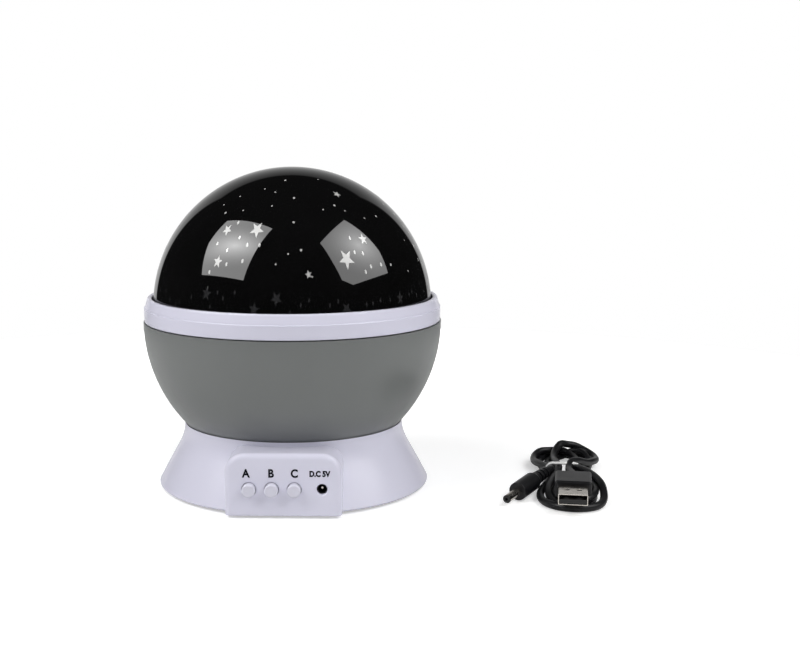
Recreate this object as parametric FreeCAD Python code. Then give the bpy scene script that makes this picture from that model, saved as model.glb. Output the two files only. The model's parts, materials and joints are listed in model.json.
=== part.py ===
import FreeCAD, Part
import math
import os

from FreeCAD import Vector

# Star projector lamp with its USB lead. A white base with three buttons and a power socket
# carries a grey bowl that turns on it, and a black star dome sits on the bowl in a white ring.
# All sizes are millimetres. Z is up and is the turning axis, the origin is on the table under
# that axis, and the buttons face -Y. The lead lies on the table beside the lamp.

# --- Base housing ---------------------------------------------------------------------
base_lift = 1.0            # lower edge of the housing above the table
skirt_flare = 11.5         # how far the skirt's foot stands out from the neck
neck_inset = 17.1          # neck that the bowl sits in, inside the bowl's widest part
wall = 2.0                 # moulded wall of the base
skirt_edge = 0.8           # round on the lower edge of the skirt
deck_thickness = 2.0       # deck that carries post and gears
deck_room = 2.4            # room for screw heads between battery bay and deck
glide_room = 2.1           # between the double gear's large wheel and the raised glide rib
glide_width = 1.4
# Flare of the skirt: height above its lower edge, how far it still stands out from the neck.
skirt_steps = ((3.97, 9.4), (11.89, 5.09), (19.8, 1.1))

# --- Control box on the front of the base ---------------------------------------------
box_half_width = 23.9
box_proud = 1.0            # how far the panel stands in front of the skirt
box_top = 26.7
box_corner = 8.0           # round of the two upper corners, seen from the front
box_edge = 2.2             # round between the panel and the box sides
box_root = 12.0            # how far the box reaches in behind the front of the neck
box_foot_edge = 0.5        # round along the panel's lower edge

# --- Bowl ------------------------------------------------------------------------------
ball_radius = 65.5
ball_lift = 7.6            # lowest point of the bowl's whole sphere above the table
rim_rise = 0.1             # rim of the bowl above the middle of its sphere
bowl_wall = 2.2
bowl_floor = 2.0           # thickness of the bowl's flat floor
bowl_gap = 0.35            # between the bowl and the neck of the base
glide_gap = 0.1            # between the bowl's floor and the glide rib
spigot_wall = 1.1
spigot_step = 4.2          # depth of the spigot's root below the rim

# --- Ring, dome and film ---------------------------------------------------------------
ring_gap = 0.4             # shadow line between bowl and ring
ring_inset = 0.35          # ring's outer band inside the bowl's widest part
ring_band = 6.1            # height of the ring's outer band
ledge_round = 0.35
ledge_width = 0.45         # ledge between the outer band and the lip
lip_lean = 1.1             # how far the lip leans in from its foot to its top
lip_land = 2.0             # flat top of the lip
lip_height = 4.2
lip_round = 0.85
ring_wall = 2.3
dome_drop = 0.8            # middle of the dome's sphere below the ledge
dome_wall = 1.2
dome_gap = 0.4             # hairline between dome and ring lip
flange_thick = 1.3         # flange of the dome, held under the ring's lip
film_thick = 0.3
film_gap = 0.15
clamp_height = 1.45
clamp_gap = 0.05           # between the clamp ring and the dome's flange
fit_gap = 0.3              # loose fit of ring over spigot and of flange in ring

# --- Gear train ------------------------------------------------------------------------
pressure_angle = 25.0
backlash = 0.06            # thinning of each tooth
first_module = 0.5         # motor pinion and large wheel of the double gear
pinion_teeth = 12
wheel_teeth = 48
second_module = 0.6        # small wheel of the double gear and drive gear
small_teeth = 14
drive_teeth = 70
gear_face = 2.0            # width of the drive gear's teeth
wheel_face = 1.6
pinion_face = 2.0
layer_gap = 0.5            # deck to the first layer of gears
axle_radius = 1.0
shaft_radius = 1.0
running_gap = 0.05         # radial clearance of what turns on a pin, post or shaft
double_gear_angle = -60.0  # where the double gear stands, seen from the turning axis
motor_angle = 200.0        # where the motor stands, seen from the double gear
boss_rise = 1.1            # raised middle of the drive gear, against the bowl's floor

# --- Post, washers and lamp board ------------------------------------------------------
post_radius = 6.0
post_wall = 1.4
post_drop = 6.2            # top of the post below the bowl's rim
post_foot = 5.2            # how far the post's flange stands out from it
post_flange = 2.0
washer_thick = 0.6
washer_reach = 4.4         # how far the washers stand out from the post
post_hole_gap = 2.0        # between the post and the hole in the bowl's floor
web_room = 3.2             # screws and holes of the drive gear, outside the washers
web_hole = 2.6
thrust_play = 0.05
clip_thick = 0.7
clip_depth = 0.6           # depth of the groove in the post
clip_width = 2.4
holder_radius = 16.0
holder_plate = 2.0
holder_sleeve = 8.0        # length of the holder's sleeve on the post
holder_wall = 1.6
lamp_board_radius = 15.0
lamp_screw_inset = 2.8
board_thick = 1.2
led_radius = 2.5
led_rim = 2.9
led_body = 6.0             # straight part of a lamp under its round top
led_stand = 1.2            # legs of a lamp under its rim
led_circle = 7.5
wire_radius = 0.8

# --- Motor ------------------------------------------------------------------------------
motor_radius = 12.0
motor_plate = 0.8
motor_ear_room = 3.5       # ear holes outside the motor's can
motor_ear_radius = 2.6
motor_room = 0.35          # between the motor's end cap and the cover
seat_gap = 0.05            # between parts that are screwed face to face
motor_boss = 3.5
motor_cap = 1.2
motor_cap_inset = 2.0
tag_half_width = 1.0
tag_thick = 0.4
tag_spread = 5.0           # tags either side of the motor's axis

# --- Buttons, socket and control board ----------------------------------------------------
button_radius = 2.8
button_gap = 0.25
button_proud = 3.0
button_round = 0.9         # round between the flat top of a button and its side
button_flange = 1.0
button_travel = 0.5
button_height = 12.1       # height of the button row above the table
button_row = {"a": -13.9, "b": -4.7, "c": 4.5}
stem_radius = 1.5
socket_inset = 8.15        # axis of the socket inside the side of the box
socket_height = 12.2
socket_hole = 2.2
socket_chamfer = 0.45
socket_bore = 1.85
socket_pin = 0.65
socket_end = 0.75          # wall behind the bore of the socket
socket_pin_set = 1.2       # tip of the pin behind the panel
socket_body = 7.6
board_back = 11.4          # panel face to the front of the control board
board_side_gap = 0.3
board_foot_gap = 0.45      # between the board and the cover
board_headroom = 0.8       # between the board and the deck
rail_reach = 1.5
switch_side = 6.0
switch_height = 3.5
plunger_radius = 1.7
plunger_reach = 0.8
plunger_gap = 0.05
plunger_depth = 1.5        # part of a plunger inside its switch
plunger_play = 0.1         # room behind a pressed plunger
chip_x = -16.0
chip_length = 5.0
chip_height = 4.0
chip_thick = 1.6
capacitor_x = (8.0, 12.5)
capacitor_radius = 2.0
capacitor_length = 5.0

# --- Bottom cover, battery bay and door ------------------------------------------------
foot_lift = 1.2            # underside of the cover above the table
cover_thick = 2.4
cover_gap = 0.3
cell_diameter = 10.5       # AAA cells, four side by side, lying along Y
cell_length = 44.5
cell_side_gap = 0.4
cell_count = 4
contact_room = 5.9         # spring and plates at the ends of a cell
bay_front = -9.2
cell_headroom = 0.7        # height of the bay over a cell's diameter
bay_wall = 2.0
bay_roof = 1.35
bay_rib = 2.4
door_thick = 1.8
door_overlap = 1.3         # how far the door covers the walls of the bay
door_gap = 0.25
door_ledge_gap = 0.05
hinge_pin = 0.6
hinge_pin_length = 1.2
tab_width = 12.0
tab_length = 3.0
foot_radius = 4.5
foot_sink = 0.7
foot_margin = 2.9          # cover outside a foot
foot_angle = 44.2
screw_inset = 10.9         # screws inside the skirt's foot
screw_y = 11.0
screw_radius = 0.95
screw_head = 2.2
screw_head_height = 1.0
screw_length = 9.0
boss_radius = 3.2
small_head = 1.8
small_head_height = 1.1
screw_gap = 0.05
cross_half = 0.25          # half width of the slots in a screw head
cross_depth = 0.6
cross_reach = 0.6          # length of a slot's arm as a share of the head's radius
plate_thick = 0.4          # contact plates of the battery bay
plate_gap = 0.05
plate_side_gap = 0.9
plate_half_height = 4.4

# --- Lead --------------------------------------------------------------------------------
lead_place = (120.8, -1.5)     # middle of the tie, on the table
lead_turn = -8.2               # degrees, long side of the hank against +Y
cord_radius = 1.65
hank_height = 8.0
hank_end = -5.0                # flat end of the tied part, where both tails leave it
plug_grip_radius = 3.95
plug_grip = 16.4
relief = 12.0
relief_small = 2.3
relief_large = 3.1
barrel_radius = 1.75
barrel_bore = 0.68
barrel_wall = 0.45
barrel = 9.4
barrel_tip = 0.7
usb_grip_size = (15.4, 18.2, 7.8)
usb_neck_size = (6.6, 4.4, 5.0)
usb_shell_size = (12.0, 13.5, 4.5)
usb_shell_wall = 0.3
usb_tongue = 1.9
usb_gap = 0.2                  # the plug lies on the strands of the hank
tie_wire = 1.4
tie_width = 1.8
tie_left = -7.6
tie_right = 8.2
tie_rise = 0.8                 # top of the tie above the hank
tie_corner = 3.2
usb_window = (2.0, 2.2)        # square windows in the plug's shell
usb_window_place = (2.5, 7.1)  # beside the shell's axis and behind its mouth

# --- Sizes that follow ------------------------------------------------------------------
far = 3 * ball_radius      # reach of the bodies that only cut
neck_radius = ball_radius - neck_inset
skirt_radius = neck_radius + skirt_flare
box_front = skirt_radius + box_proud
box_back = box_root - neck_radius
ball_centre = ball_radius + ball_lift
bowl_rim = ball_centre + rim_rise
ring_radius = ball_radius - ring_inset
lip_foot_radius = ring_radius - ledge_width
lip_top_radius = lip_foot_radius - lip_lean
dome_radius = lip_top_radius - lip_land - dome_gap
cell_pitch = cell_diameter + cell_side_gap
cover_top = foot_lift + cover_thick
door_top = foot_lift + door_thick
bay_bottom = door_top + door_ledge_gap
bay_ceiling = bay_bottom + cell_diameter + cell_headroom
deck_bottom = bay_ceiling + bay_roof + deck_room
deck_top = deck_bottom + deck_thickness
post_flange_radius = post_radius + post_foot
post_top = bowl_rim - post_drop
washer_radius = post_radius + washer_reach
web_circle = washer_radius + web_room
motor_top = deck_bottom - seat_gap
motor_length = motor_top - motor_plate - motor_cap - motor_room - cover_top
motor_low = motor_top - motor_plate - motor_length
motor_ear = motor_radius + motor_ear_room
foot_circle = skirt_radius - wall - cover_gap - foot_radius - foot_margin
screw_x = skirt_radius - screw_inset
socket_x = box_half_width - socket_inset
socket_depth = board_back - wall - seat_gap - socket_end
usb_lift = 2 * cord_radius + usb_gap
flange_top = deck_top + post_flange
hub_bottom = flange_top + washer_thick + thrust_play
drive_bottom = hub_bottom + 0.25
drive_top = drive_bottom + gear_face
floor_bottom = drive_top + boss_rise
floor_top = floor_bottom + bowl_floor
wheel_bottom = deck_top + layer_gap
wheel_top = wheel_bottom + wheel_face
ring_bottom = bowl_rim + ring_gap
ledge = ring_bottom + ring_band
lip_top = ledge + lip_height
flange_upper = ledge
flange_lower = flange_upper - flange_thick
clamp_bottom = flange_lower - clamp_gap - clamp_height
dome_centre = ledge - dome_drop
spigot_outer = ring_radius - ring_wall - fit_gap
bay_half_width = cell_count * cell_pitch / 2
bay_length = cell_length + contact_room
bay_back = bay_front + bay_length
door_half_width = bay_half_width + door_overlap
door_front = bay_front - door_overlap
door_back = bay_back + door_overlap
hinge_y = door_back - door_thick / 2
hinge_z = foot_lift + door_thick / 2
cell_axis = (bay_bottom + bay_ceiling) / 2
holder_top = post_top + holder_plate
lamp_board_top = holder_top + board_thick
first_centre = first_module * (pinion_teeth + wheel_teeth) / 2
second_centre = second_module * (small_teeth + drive_teeth) / 2
wheel_reach = second_centre + first_module * (wheel_teeth / 2 + 1)
glide_radius = wheel_reach + glide_room + glide_width / 2
panel = -box_front
board_front = panel + board_back
board_back_face = board_front + board_thick
board_half = box_half_width - wall - board_side_gap
board_low = cover_top + board_foot_gap
board_high = deck_bottom - board_headroom


def polar(distance, degrees):
    angle = math.radians(degrees)
    return distance * math.cos(angle), distance * math.sin(angle)


double_x, double_y = polar(second_centre, double_gear_angle)
motor_dx, motor_dy = polar(first_centre, motor_angle)
motor_x = double_x + motor_dx
motor_y = double_y + motor_dy


# --- Plain shapes ------------------------------------------------------------------------
def disc(radius, low, high, x=0.0, y=0.0):
    return Part.makeCylinder(radius, high - low, Vector(x, y, low))


def tube(outer, inner, low, high, x=0.0, y=0.0):
    return disc(outer, low, high, x, y).cut(disc(inner, low - 1, high + 1, x, y))


def rod_y(radius, front, back, x, z):
    return Part.makeCylinder(radius, back - front, Vector(x, front, z), Vector(0, 1, 0))


def block(x0, x1, y0, y1, z0, z1):
    return Part.makeBox(x1 - x0, y1 - y0, z1 - z0, Vector(x0, y0, z0))


def turned(outline):
    """Solid of revolution about Z from a closed outline of (radius, height) points."""
    points = [Vector(r, 0, z) for r, z in outline]
    face = Part.Face(Part.makePolygon(points + points[:1]))
    return face.revolve(Vector(0, 0, 0), Vector(0, 0, 1), 360)


def ball(radius, height):
    return Part.makeSphere(radius, Vector(0, 0, height))


def sphere_radius_at(height, radius, centre):
    return math.sqrt(radius ** 2 - (height - centre) ** 2)


def sphere_height_at(distance, radius, centre):
    return centre - math.sqrt(radius ** 2 - distance ** 2)


def round_circles(shape, size, circles):
    """Fillet the circular edges about Z that have these (radius, height) pairs."""
    chosen = []
    for edge in shape.Edges:
        curve = edge.Curve
        if not isinstance(curve, Part.Circle):
            continue
        for radius, height in circles:
            if abs(curve.Radius - radius) < 1e-3 and abs(curve.Center.z - height) < 1e-3:
                chosen.append(edge)
    return shape.makeFillet(size, chosen)


def save(name, shape):
    clean = shape.removeSplitter() if shape.ShapeType == "Solid" else shape
    clean.exportStep("parts/" + name + ".step")


# --- Base housing ------------------------------------------------------------------------
neck_top = sphere_height_at(neck_radius, ball_radius + bowl_gap, ball_centre)


def skirt_curve(inset):
    """Flared outline of the skirt, moved inwards by inset."""
    low = base_lift + skirt_edge
    points = [Vector(skirt_radius - inset, 0, low)]
    for rise, stand_out in skirt_steps:
        points.append(Vector(neck_radius + stand_out - inset, 0, low + rise))
    points.append(Vector(neck_radius - inset, 0, neck_top))
    curve = Part.BSplineCurve()
    curve.interpolate(points)
    return curve.toShape(), points


def skirt_solid(inset, low):
    """Turned body inside the skirt's outline, from low up to a little above the neck."""
    edge, points = skirt_curve(inset)
    high = neck_top + 4
    foot = points[0]
    neck = points[-1]
    corner = Vector(foot.x, 0, low)
    outline = [
        Part.LineSegment(Vector(0, 0, low), corner).toShape(),
        Part.LineSegment(corner, foot).toShape(),
        edge,
        Part.LineSegment(neck, Vector(neck.x, 0, high)).toShape(),
        Part.LineSegment(Vector(neck.x, 0, high), Vector(0, 0, high)).toShape(),
        Part.LineSegment(Vector(0, 0, high), Vector(0, 0, low)).toShape(),
    ]
    face = Part.Face(Part.Wire(outline))
    return face.revolve(Vector(0, 0, 0), Vector(0, 0, 1), 360)


def box_solid(inset, back, low):
    """Control box with rounded upper corners, every side moved inwards by inset."""
    half = box_half_width - inset
    top = box_top - inset
    corner = box_corner - inset
    front = panel + inset
    bend = corner * (1 - math.sqrt(0.5))
    left_low = Vector(-half, front, low)
    right_low = Vector(half, front, low)
    left_arc = Part.Arc(
        Vector(-half, front, top - corner),
        Vector(-half + bend, front, top - bend),
        Vector(-half + corner, front, top),
    )
    right_arc = Part.Arc(
        Vector(half - corner, front, top),
        Vector(half - bend, front, top - bend),
        Vector(half, front, top - corner),
    )
    outline = [
        Part.LineSegment(left_low, Vector(-half, front, top - corner)).toShape(),
        left_arc.toShape(),
        Part.LineSegment(Vector(-half + corner, front, top), Vector(half - corner, front, top)).toShape(),
        right_arc.toShape(),
        Part.LineSegment(Vector(half, front, top - corner), right_low).toShape(),
        Part.LineSegment(right_low, left_low).toShape(),
    ]
    face = Part.Face(Part.Wire(outline))
    return face.extrude(Vector(0, back - front, 0))


def round_panel(box):
    """Round the edges between the panel and the top, corners and sides of the box."""
    rim = []
    for edge in box.Edges:
        bounds = edge.BoundBox
        if bounds.YMax < panel + 1e-3 and bounds.ZMax > base_lift + 1e-3:
            rim.append(edge)
    rounded = box.makeFillet(box_edge, rim)
    foot = []
    for edge in rounded.Edges:
        bounds = edge.BoundBox
        if bounds.YMax < panel + 1e-3 and bounds.ZMax < base_lift + 1e-3:
            foot.append(edge)
    return rounded.makeFillet(box_foot_edge, foot)


def base_housing():
    outer = skirt_solid(0, base_lift)
    outer = round_circles(outer, skirt_edge * 0.99, [(skirt_radius, base_lift)])
    outer = outer.fuse(round_panel(box_solid(0, box_back, base_lift)))
    dish_radius = neck_radius - wall
    room = ball(ball_radius + bowl_gap, ball_centre).common(disc(far, deck_top, far))
    shell = outer.cut(room)
    shell = shell.cut(disc(dish_radius, deck_top, deck_top + far))
    # hollow of the skirt under the deck, and of the control box in front of the neck
    hollow = skirt_solid(wall, base_lift - 1).common(disc(far, 0, deck_bottom))
    shell = shell.cut(hollow)
    shell = shell.cut(box_solid(wall, -neck_radius - wall, base_lift - 1))
    low_box = box_solid(wall, box_back, base_lift - 1).common(disc(far, 0, deck_bottom))
    shell = shell.cut(low_box)
    shell = shell.cut(panel_holes())
    shell = shell.fuse(housing_bosses())
    return shell.cut(deck_holes())


def panel_holes():
    holes = []
    for x in button_row.values():
        hole = rod_y(button_radius + button_gap, panel - 1, panel + wall + 1, x, button_height)
        holes.append(hole)
    bore = rod_y(socket_hole, panel - 1, panel + wall + 1, socket_x, socket_height)
    flare = Part.makeCone(
        socket_hole + 2 * socket_chamfer,
        socket_hole,
        2 * socket_chamfer,
        Vector(socket_x, panel - socket_chamfer, socket_height),
        Vector(0, 1, 0),
    )
    return holes[0].multiFuse(holes[1:] + [bore, flare])


def housing_bosses():
    """Screw bosses, the double gear's axle boss, the glide rib and the board's rails."""
    parts = []
    inside_skirt = skirt_solid(wall / 2, base_lift)
    for x in (-screw_x, screw_x):
        for y in (-screw_y, screw_y):
            boss = disc(boss_radius, cover_top + screw_gap, deck_bottom + 0.5, x, y)
            parts.append(boss.common(inside_skirt))
    parts.append(disc(axle_radius + 1.4, deck_bottom - 3.5, deck_bottom + 0.5, double_x, double_y))
    outer = glide_radius + glide_width / 2
    inner = glide_radius - glide_width / 2
    parts.append(tube(outer, inner, deck_top - 0.5, floor_bottom - glide_gap))
    inside = box_half_width - wall
    slot_low = board_front - seat_gap
    slot_high = board_back_face + seat_gap
    for side in (-1, 1):
        x0, x1 = sorted((side * (inside - rail_reach), side * (inside + 0.5)))
        parts.append(block(x0, x1, slot_low - 1.0, slot_low, board_low, deck_bottom + 0.5))
        parts.append(block(x0, x1, slot_high, slot_high + 1.0, board_low, deck_bottom + 0.5))
    return parts[0].multiFuse(parts[1:])


def post_screw_places():
    radius = (post_radius + post_flange_radius) / 2 + 0.2
    return [polar(radius, angle) for angle in (75, 195, 315)]


def motor_ear_places():
    return [(motor_x - motor_ear, motor_y), (motor_x + motor_ear, motor_y)]


def deck_holes():
    holes = [disc(post_radius - post_wall, deck_bottom - 1, deck_top + 1)]
    holes.append(disc(motor_boss + 0.2, deck_bottom - 1, deck_top + 1, motor_x, motor_y))
    holes.append(disc(axle_radius, deck_bottom - 3, deck_top + 1, double_x, double_y))
    for x, y in post_screw_places():
        holes.append(disc(screw_radius + screw_gap, deck_bottom - 1, deck_top + 1, x, y))
    for x, y in motor_ear_places():
        holes.append(disc(screw_radius + screw_gap, deck_bottom - 1, deck_top - 0.1, x, y))
    for x in (-screw_x, screw_x):
        for y in (-screw_y, screw_y):
            depth = foot_lift + screw_head_height + screw_length + 1
            holes.append(disc(screw_radius + screw_gap, cover_top, depth, x, y))
    return holes[0].multiFuse(holes[1:])


# --- Bottom cover, battery door and feet --------------------------------------------------
def foot_places():
    angles = (foot_angle, 180 - foot_angle, 180 + foot_angle, -foot_angle)
    return [polar(foot_circle, angle) for angle in angles]


def bottom_cover():
    plate = skirt_solid(wall + cover_gap, base_lift - 2)
    plate = plate.fuse(box_solid(wall + cover_gap, box_back, base_lift - 2))
    plate = plate.common(disc(far, foot_lift, cover_top))
    out_x = bay_half_width + bay_wall
    top = bay_ceiling + bay_roof
    plate = plate.fuse(block(-out_x, out_x, bay_front - bay_wall, bay_back + bay_wall, foot_lift, top))
    plate = plate.cut(block(-bay_half_width, bay_half_width, bay_front, bay_back, 0, bay_ceiling))
    cuts = [door_space()]
    for x, y in foot_places():
        cuts.append(disc(foot_radius + 0.05, foot_lift - 1, foot_lift + foot_sink, x, y))
    for x in (-screw_x, screw_x):
        for y in (-screw_y, screw_y):
            cuts.append(disc(screw_head + 0.2, foot_lift - 1, foot_lift + screw_head_height + 0.1, x, y))
            cuts.append(disc(screw_radius + 0.2, foot_lift - 1, cover_top + 1, x, y))
    plate = plate.cut(cuts[0].multiFuse(cuts[1:]))
    ribs = []
    for index in range(1, cell_count):
        x = -bay_half_width + index * cell_pitch
        rib_low = bay_ceiling - bay_rib
        ribs.append(block(x - 0.5, x + 0.5, bay_front + 6, bay_back - 6, rib_low, bay_ceiling + 0.5))
    return plate.multiFuse(ribs)


def door_space():
    """Recess for the door with its hinge holes and the thumb notch at its tab."""
    half = door_half_width + door_gap
    space = block(-half, half, door_front - door_gap, door_back + door_gap, 0, bay_bottom)
    reach = half + hinge_pin_length + door_gap
    axis = Vector(1, 0, 0)
    pins = Part.makeCylinder(hinge_pin + 0.06, 2 * reach, Vector(-reach, hinge_y, hinge_z), axis)
    notch_front = door_front - tab_length - 2 * door_gap
    notch_half = tab_width / 2 + door_gap
    notch = block(-notch_half, notch_half, notch_front, door_front, 0, bay_bottom)
    return space.multiFuse([pins, notch])


def battery_door():
    half = door_half_width
    plate = block(-half, half, door_front, hinge_y, foot_lift, door_top)
    axis = Vector(1, 0, 0)
    knuckle = Part.makeCylinder(door_thick / 2, 2 * half, Vector(-half, hinge_y, hinge_z), axis)
    reach = half + hinge_pin_length
    pins = Part.makeCylinder(hinge_pin, 2 * reach, Vector(-reach, hinge_y, hinge_z), axis)
    tab_y = door_front - tab_length
    tab = block(-tab_width / 2, tab_width / 2, tab_y, door_front + 1, foot_lift + 0.4, door_top)
    door = plate.multiFuse([knuckle, pins, tab])
    grooves = []
    for index in range(3):
        y = door_front + 3 + 2 * index
        grooves.append(block(-tab_width / 2, tab_width / 2, y, y + 0.8, 0, foot_lift + 0.3))
    return door.cut(grooves[0].multiFuse(grooves[1:]))


def rubber_feet():
    feet = []
    for x, y in foot_places():
        foot = disc(foot_radius, 0, foot_lift + foot_sink, x, y)
        lower = [edge for edge in foot.Edges if edge.BoundBox.ZMax < 0.01]
        feet.append(foot.makeFillet(0.4, lower))
    return Part.makeCompound(feet)


def cross_head(x, y, low, high, radius, upward):
    """Screw head with a cross slot that opens downwards, or upwards."""
    head = disc(radius, low, high, x, y)
    z0, z1 = (high - cross_depth, high + 1) if upward else (low - 1, low + cross_depth)
    arm = radius * cross_reach
    slot = block(x - arm, x + arm, y - cross_half, y + cross_half, z0, z1)
    return head.cut(slot.fuse(block(x - cross_half, x + cross_half, y - arm, y + arm, z0, z1)))


def housing_screws():
    screws = []
    low = foot_lift + 0.05
    high = low + screw_head_height
    for x in (-screw_x, screw_x):
        for y in (-screw_y, screw_y):
            head = cross_head(x, y, low, high, screw_head, False)
            screws.append(head.fuse(disc(screw_radius, high, high + screw_length, x, y)))
    return Part.makeCompound(screws)


def cell_places():
    first = -bay_half_width + cell_pitch / 2
    return [first + index * cell_pitch for index in range(cell_count)]


def spring_ends():
    """Place of each cell's spring: even cells at the front end, odd cells at the back."""
    ends = []
    for index, x in enumerate(cell_places()):
        ends.append((x, index % 2 == 0))
    return ends


def contact_plates():
    """Nickel strips that join the cells in series, two cells to a strip where they meet."""
    half = cell_pitch / 2 - plate_side_gap
    low = cell_axis - plate_half_height
    high = cell_axis + plate_half_height
    front_face = bay_front + plate_gap
    back_face = bay_back - plate_gap
    xs = cell_places()
    front = [(xs[0], xs[0]), (xs[1], xs[2]), (xs[3], xs[3])]
    back = [(xs[0], xs[1]), (xs[2], xs[3])]
    plates = []
    for left, right in front:
        plates.append(block(left - half, right + half, front_face, front_face + plate_thick, low, high))
    for left, right in back:
        plates.append(block(left - half, right + half, back_face - plate_thick, back_face, low, high))
    return Part.makeCompound(plates)


def cone_spring(x, at_front):
    """Conical wire spring, wide end on its plate."""
    wire = 0.3
    length = contact_room - 1.9
    wide = 3.6
    narrow = 1.7
    turns = 3
    steps = 8 * turns
    points = []
    for index in range(steps + 1):
        share = index / steps
        radius = wide + (narrow - wide) * share
        across, up = polar(radius, 360 * turns * share)
        points.append(Vector(across, up, length * share))
    curve = Part.BSplineCurve()
    curve.interpolate(points)
    direction = curve.tangent(curve.FirstParameter)[0]
    start = Part.Wire([Part.Circle(points[0], direction, wire).toShape()])
    spring = Part.Wire([curve.toShape()]).makePipeShell([start], True, True)
    turn = -90 if at_front else 90
    spring.rotate(Vector(0, 0, 0), Vector(1, 0, 0), turn)
    plate = bay_front + 0.55 + wire if at_front else bay_back - 0.55 - wire
    spring.translate(Vector(x, plate, cell_axis))
    return spring


def contact_springs():
    return Part.makeCompound([cone_spring(x, at_front) for x, at_front in spring_ends()])


# --- Control board, switches, buttons and socket ------------------------------------------
def control_board():
    return block(-board_half, board_half, board_front, board_back_face, board_low, board_high)


def control_parts():
    """Chip and two capacitors on the back of the control board."""
    back = board_back_face
    middle = (board_low + board_high) / 2
    half = chip_height / 2
    parts = [block(chip_x, chip_x + chip_length, back, back + chip_thick, middle - half, middle + half)]
    for x in capacitor_x:
        parts.append(rod_y(capacitor_radius, back, back + capacitor_length, x,
                           board_high - capacitor_radius - 1))
    return Part.makeCompound(parts)


def switch_front():
    return board_front - switch_height


def tact_switches():
    switches = []
    half = switch_side / 2
    hole_end = switch_front() + plunger_depth + plunger_play + button_travel
    for x in button_row.values():
        body = block(x - half, x + half, switch_front(), board_front, button_height - half,
                     button_height + half)
        hole = rod_y(plunger_radius + plunger_gap, switch_front() - 1, hole_end, x, button_height)
        switches.append(body.cut(hole))
    return Part.makeCompound(switches)


def plunger(x):
    tip = switch_front() - plunger_reach
    return rod_y(plunger_radius, tip, switch_front() + plunger_depth, x, button_height)


def button(x):
    """Round cap with a rounded edge, a flange behind the panel and a stem to its switch."""
    rim = button_proud - button_round
    flat = button_radius - button_round
    flange_face = -wall - 0.02
    flange_back = flange_face - button_flange
    stem_end = -(switch_front() - plunger_reach - 0.01 - panel)
    flange_radius = button_radius + 0.8
    corners = [
        (0, button_proud),
        (0, stem_end),
        (stem_radius, stem_end),
        (stem_radius, flange_back),
        (flange_radius, flange_back),
        (flange_radius, flange_face),
        (button_radius, flange_face),
        (button_radius, rim),
    ]
    points = [Vector(r, 0, z) for r, z in corners]
    edges = [Part.LineSegment(p, q).toShape() for p, q in zip(points, points[1:])]
    half_way = button_round * math.sqrt(0.5)
    edge_end = Vector(flat, 0, button_proud)
    crown = Part.Arc(points[-1], Vector(flat + half_way, 0, rim + half_way), edge_end)
    edges.append(crown.toShape())
    edges.append(Part.LineSegment(edge_end, points[0]).toShape())
    cap = Part.Face(Part.Wire(edges)).revolve(Vector(0, 0, 0), Vector(0, 0, 1), 360)
    cap.rotate(Vector(0, 0, 0), Vector(1, 0, 0), 90)
    cap.translate(Vector(x, panel, button_height))
    return cap


def dc_jack():
    front = panel + wall + seat_gap
    half = socket_body / 2
    back = board_front - 0.02
    body = block(socket_x - half, socket_x + half, front, back, socket_height - half,
                 socket_height + half)
    upright = [edge for edge in body.Edges if edge.BoundBox.YLength > 1]
    body = body.makeFillet(0.6, upright)
    return body.cut(rod_y(socket_bore, front - 1, front + socket_depth, socket_x, socket_height))


def dc_jack_pin():
    front = panel + wall + socket_pin_set
    back = panel + wall + seat_gap + socket_depth
    pin = rod_y(socket_pin, front, back, socket_x, socket_height)
    tip = [edge for edge in pin.Edges if edge.BoundBox.YMax < front + 0.01]
    return pin.makeFillet(0.3, tip)


# --- Gears ---------------------------------------------------------------------------------
def involute(angle):
    return math.tan(angle) - angle


def gear(teeth, module, low, high, x, y, tooth_at, bore):
    """Spur gear with involute teeth, one of them centred on the direction tooth_at."""
    pressure = math.radians(pressure_angle)
    pitch = module * teeth / 2
    base = pitch * math.cos(pressure)
    tip = pitch + module
    root = pitch - 1.25 * module
    half = (math.pi * module / 2 - backlash) / (2 * pitch)
    start = max(base, root)

    def half_angle(radius):
        if radius <= base:
            return half + involute(pressure)
        return half + involute(pressure) - involute(math.acos(base / radius))

    def spot(radius, angle):
        return Vector(x + radius * math.cos(angle), y + radius * math.sin(angle), low)

    radii = [start + (tip - start) * step / 3 for step in range(4)]
    edges = []
    step = 2 * math.pi / teeth
    for index in range(teeth):
        middle = math.radians(tooth_at) + index * step
        rising = [spot(r, middle - half_angle(r)) for r in radii]
        falling = [spot(r, middle + half_angle(r)) for r in reversed(radii)]
        if root < base:
            edges.append(Part.LineSegment(spot(root, middle - half_angle(root)), rising[0]).toShape())
        flank = Part.BSplineCurve()
        flank.interpolate(rising)
        edges.append(flank.toShape())
        edges.append(Part.Arc(rising[-1], spot(tip, middle), falling[0]).toShape())
        flank = Part.BSplineCurve()
        flank.interpolate(falling)
        edges.append(flank.toShape())
        if root < base:
            edges.append(Part.LineSegment(falling[-1], spot(root, middle + half_angle(root))).toShape())
        foot = spot(root, middle + half_angle(root))
        next_foot = spot(root, middle + step - half_angle(root))
        edges.append(Part.Arc(foot, spot(root, middle + step / 2), next_foot).toShape())
    wheel = Part.Face(Part.Wire(edges)).extrude(Vector(0, 0, high - low))
    return wheel.cut(disc(bore, low - 1, high + 1, x, y))


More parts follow.
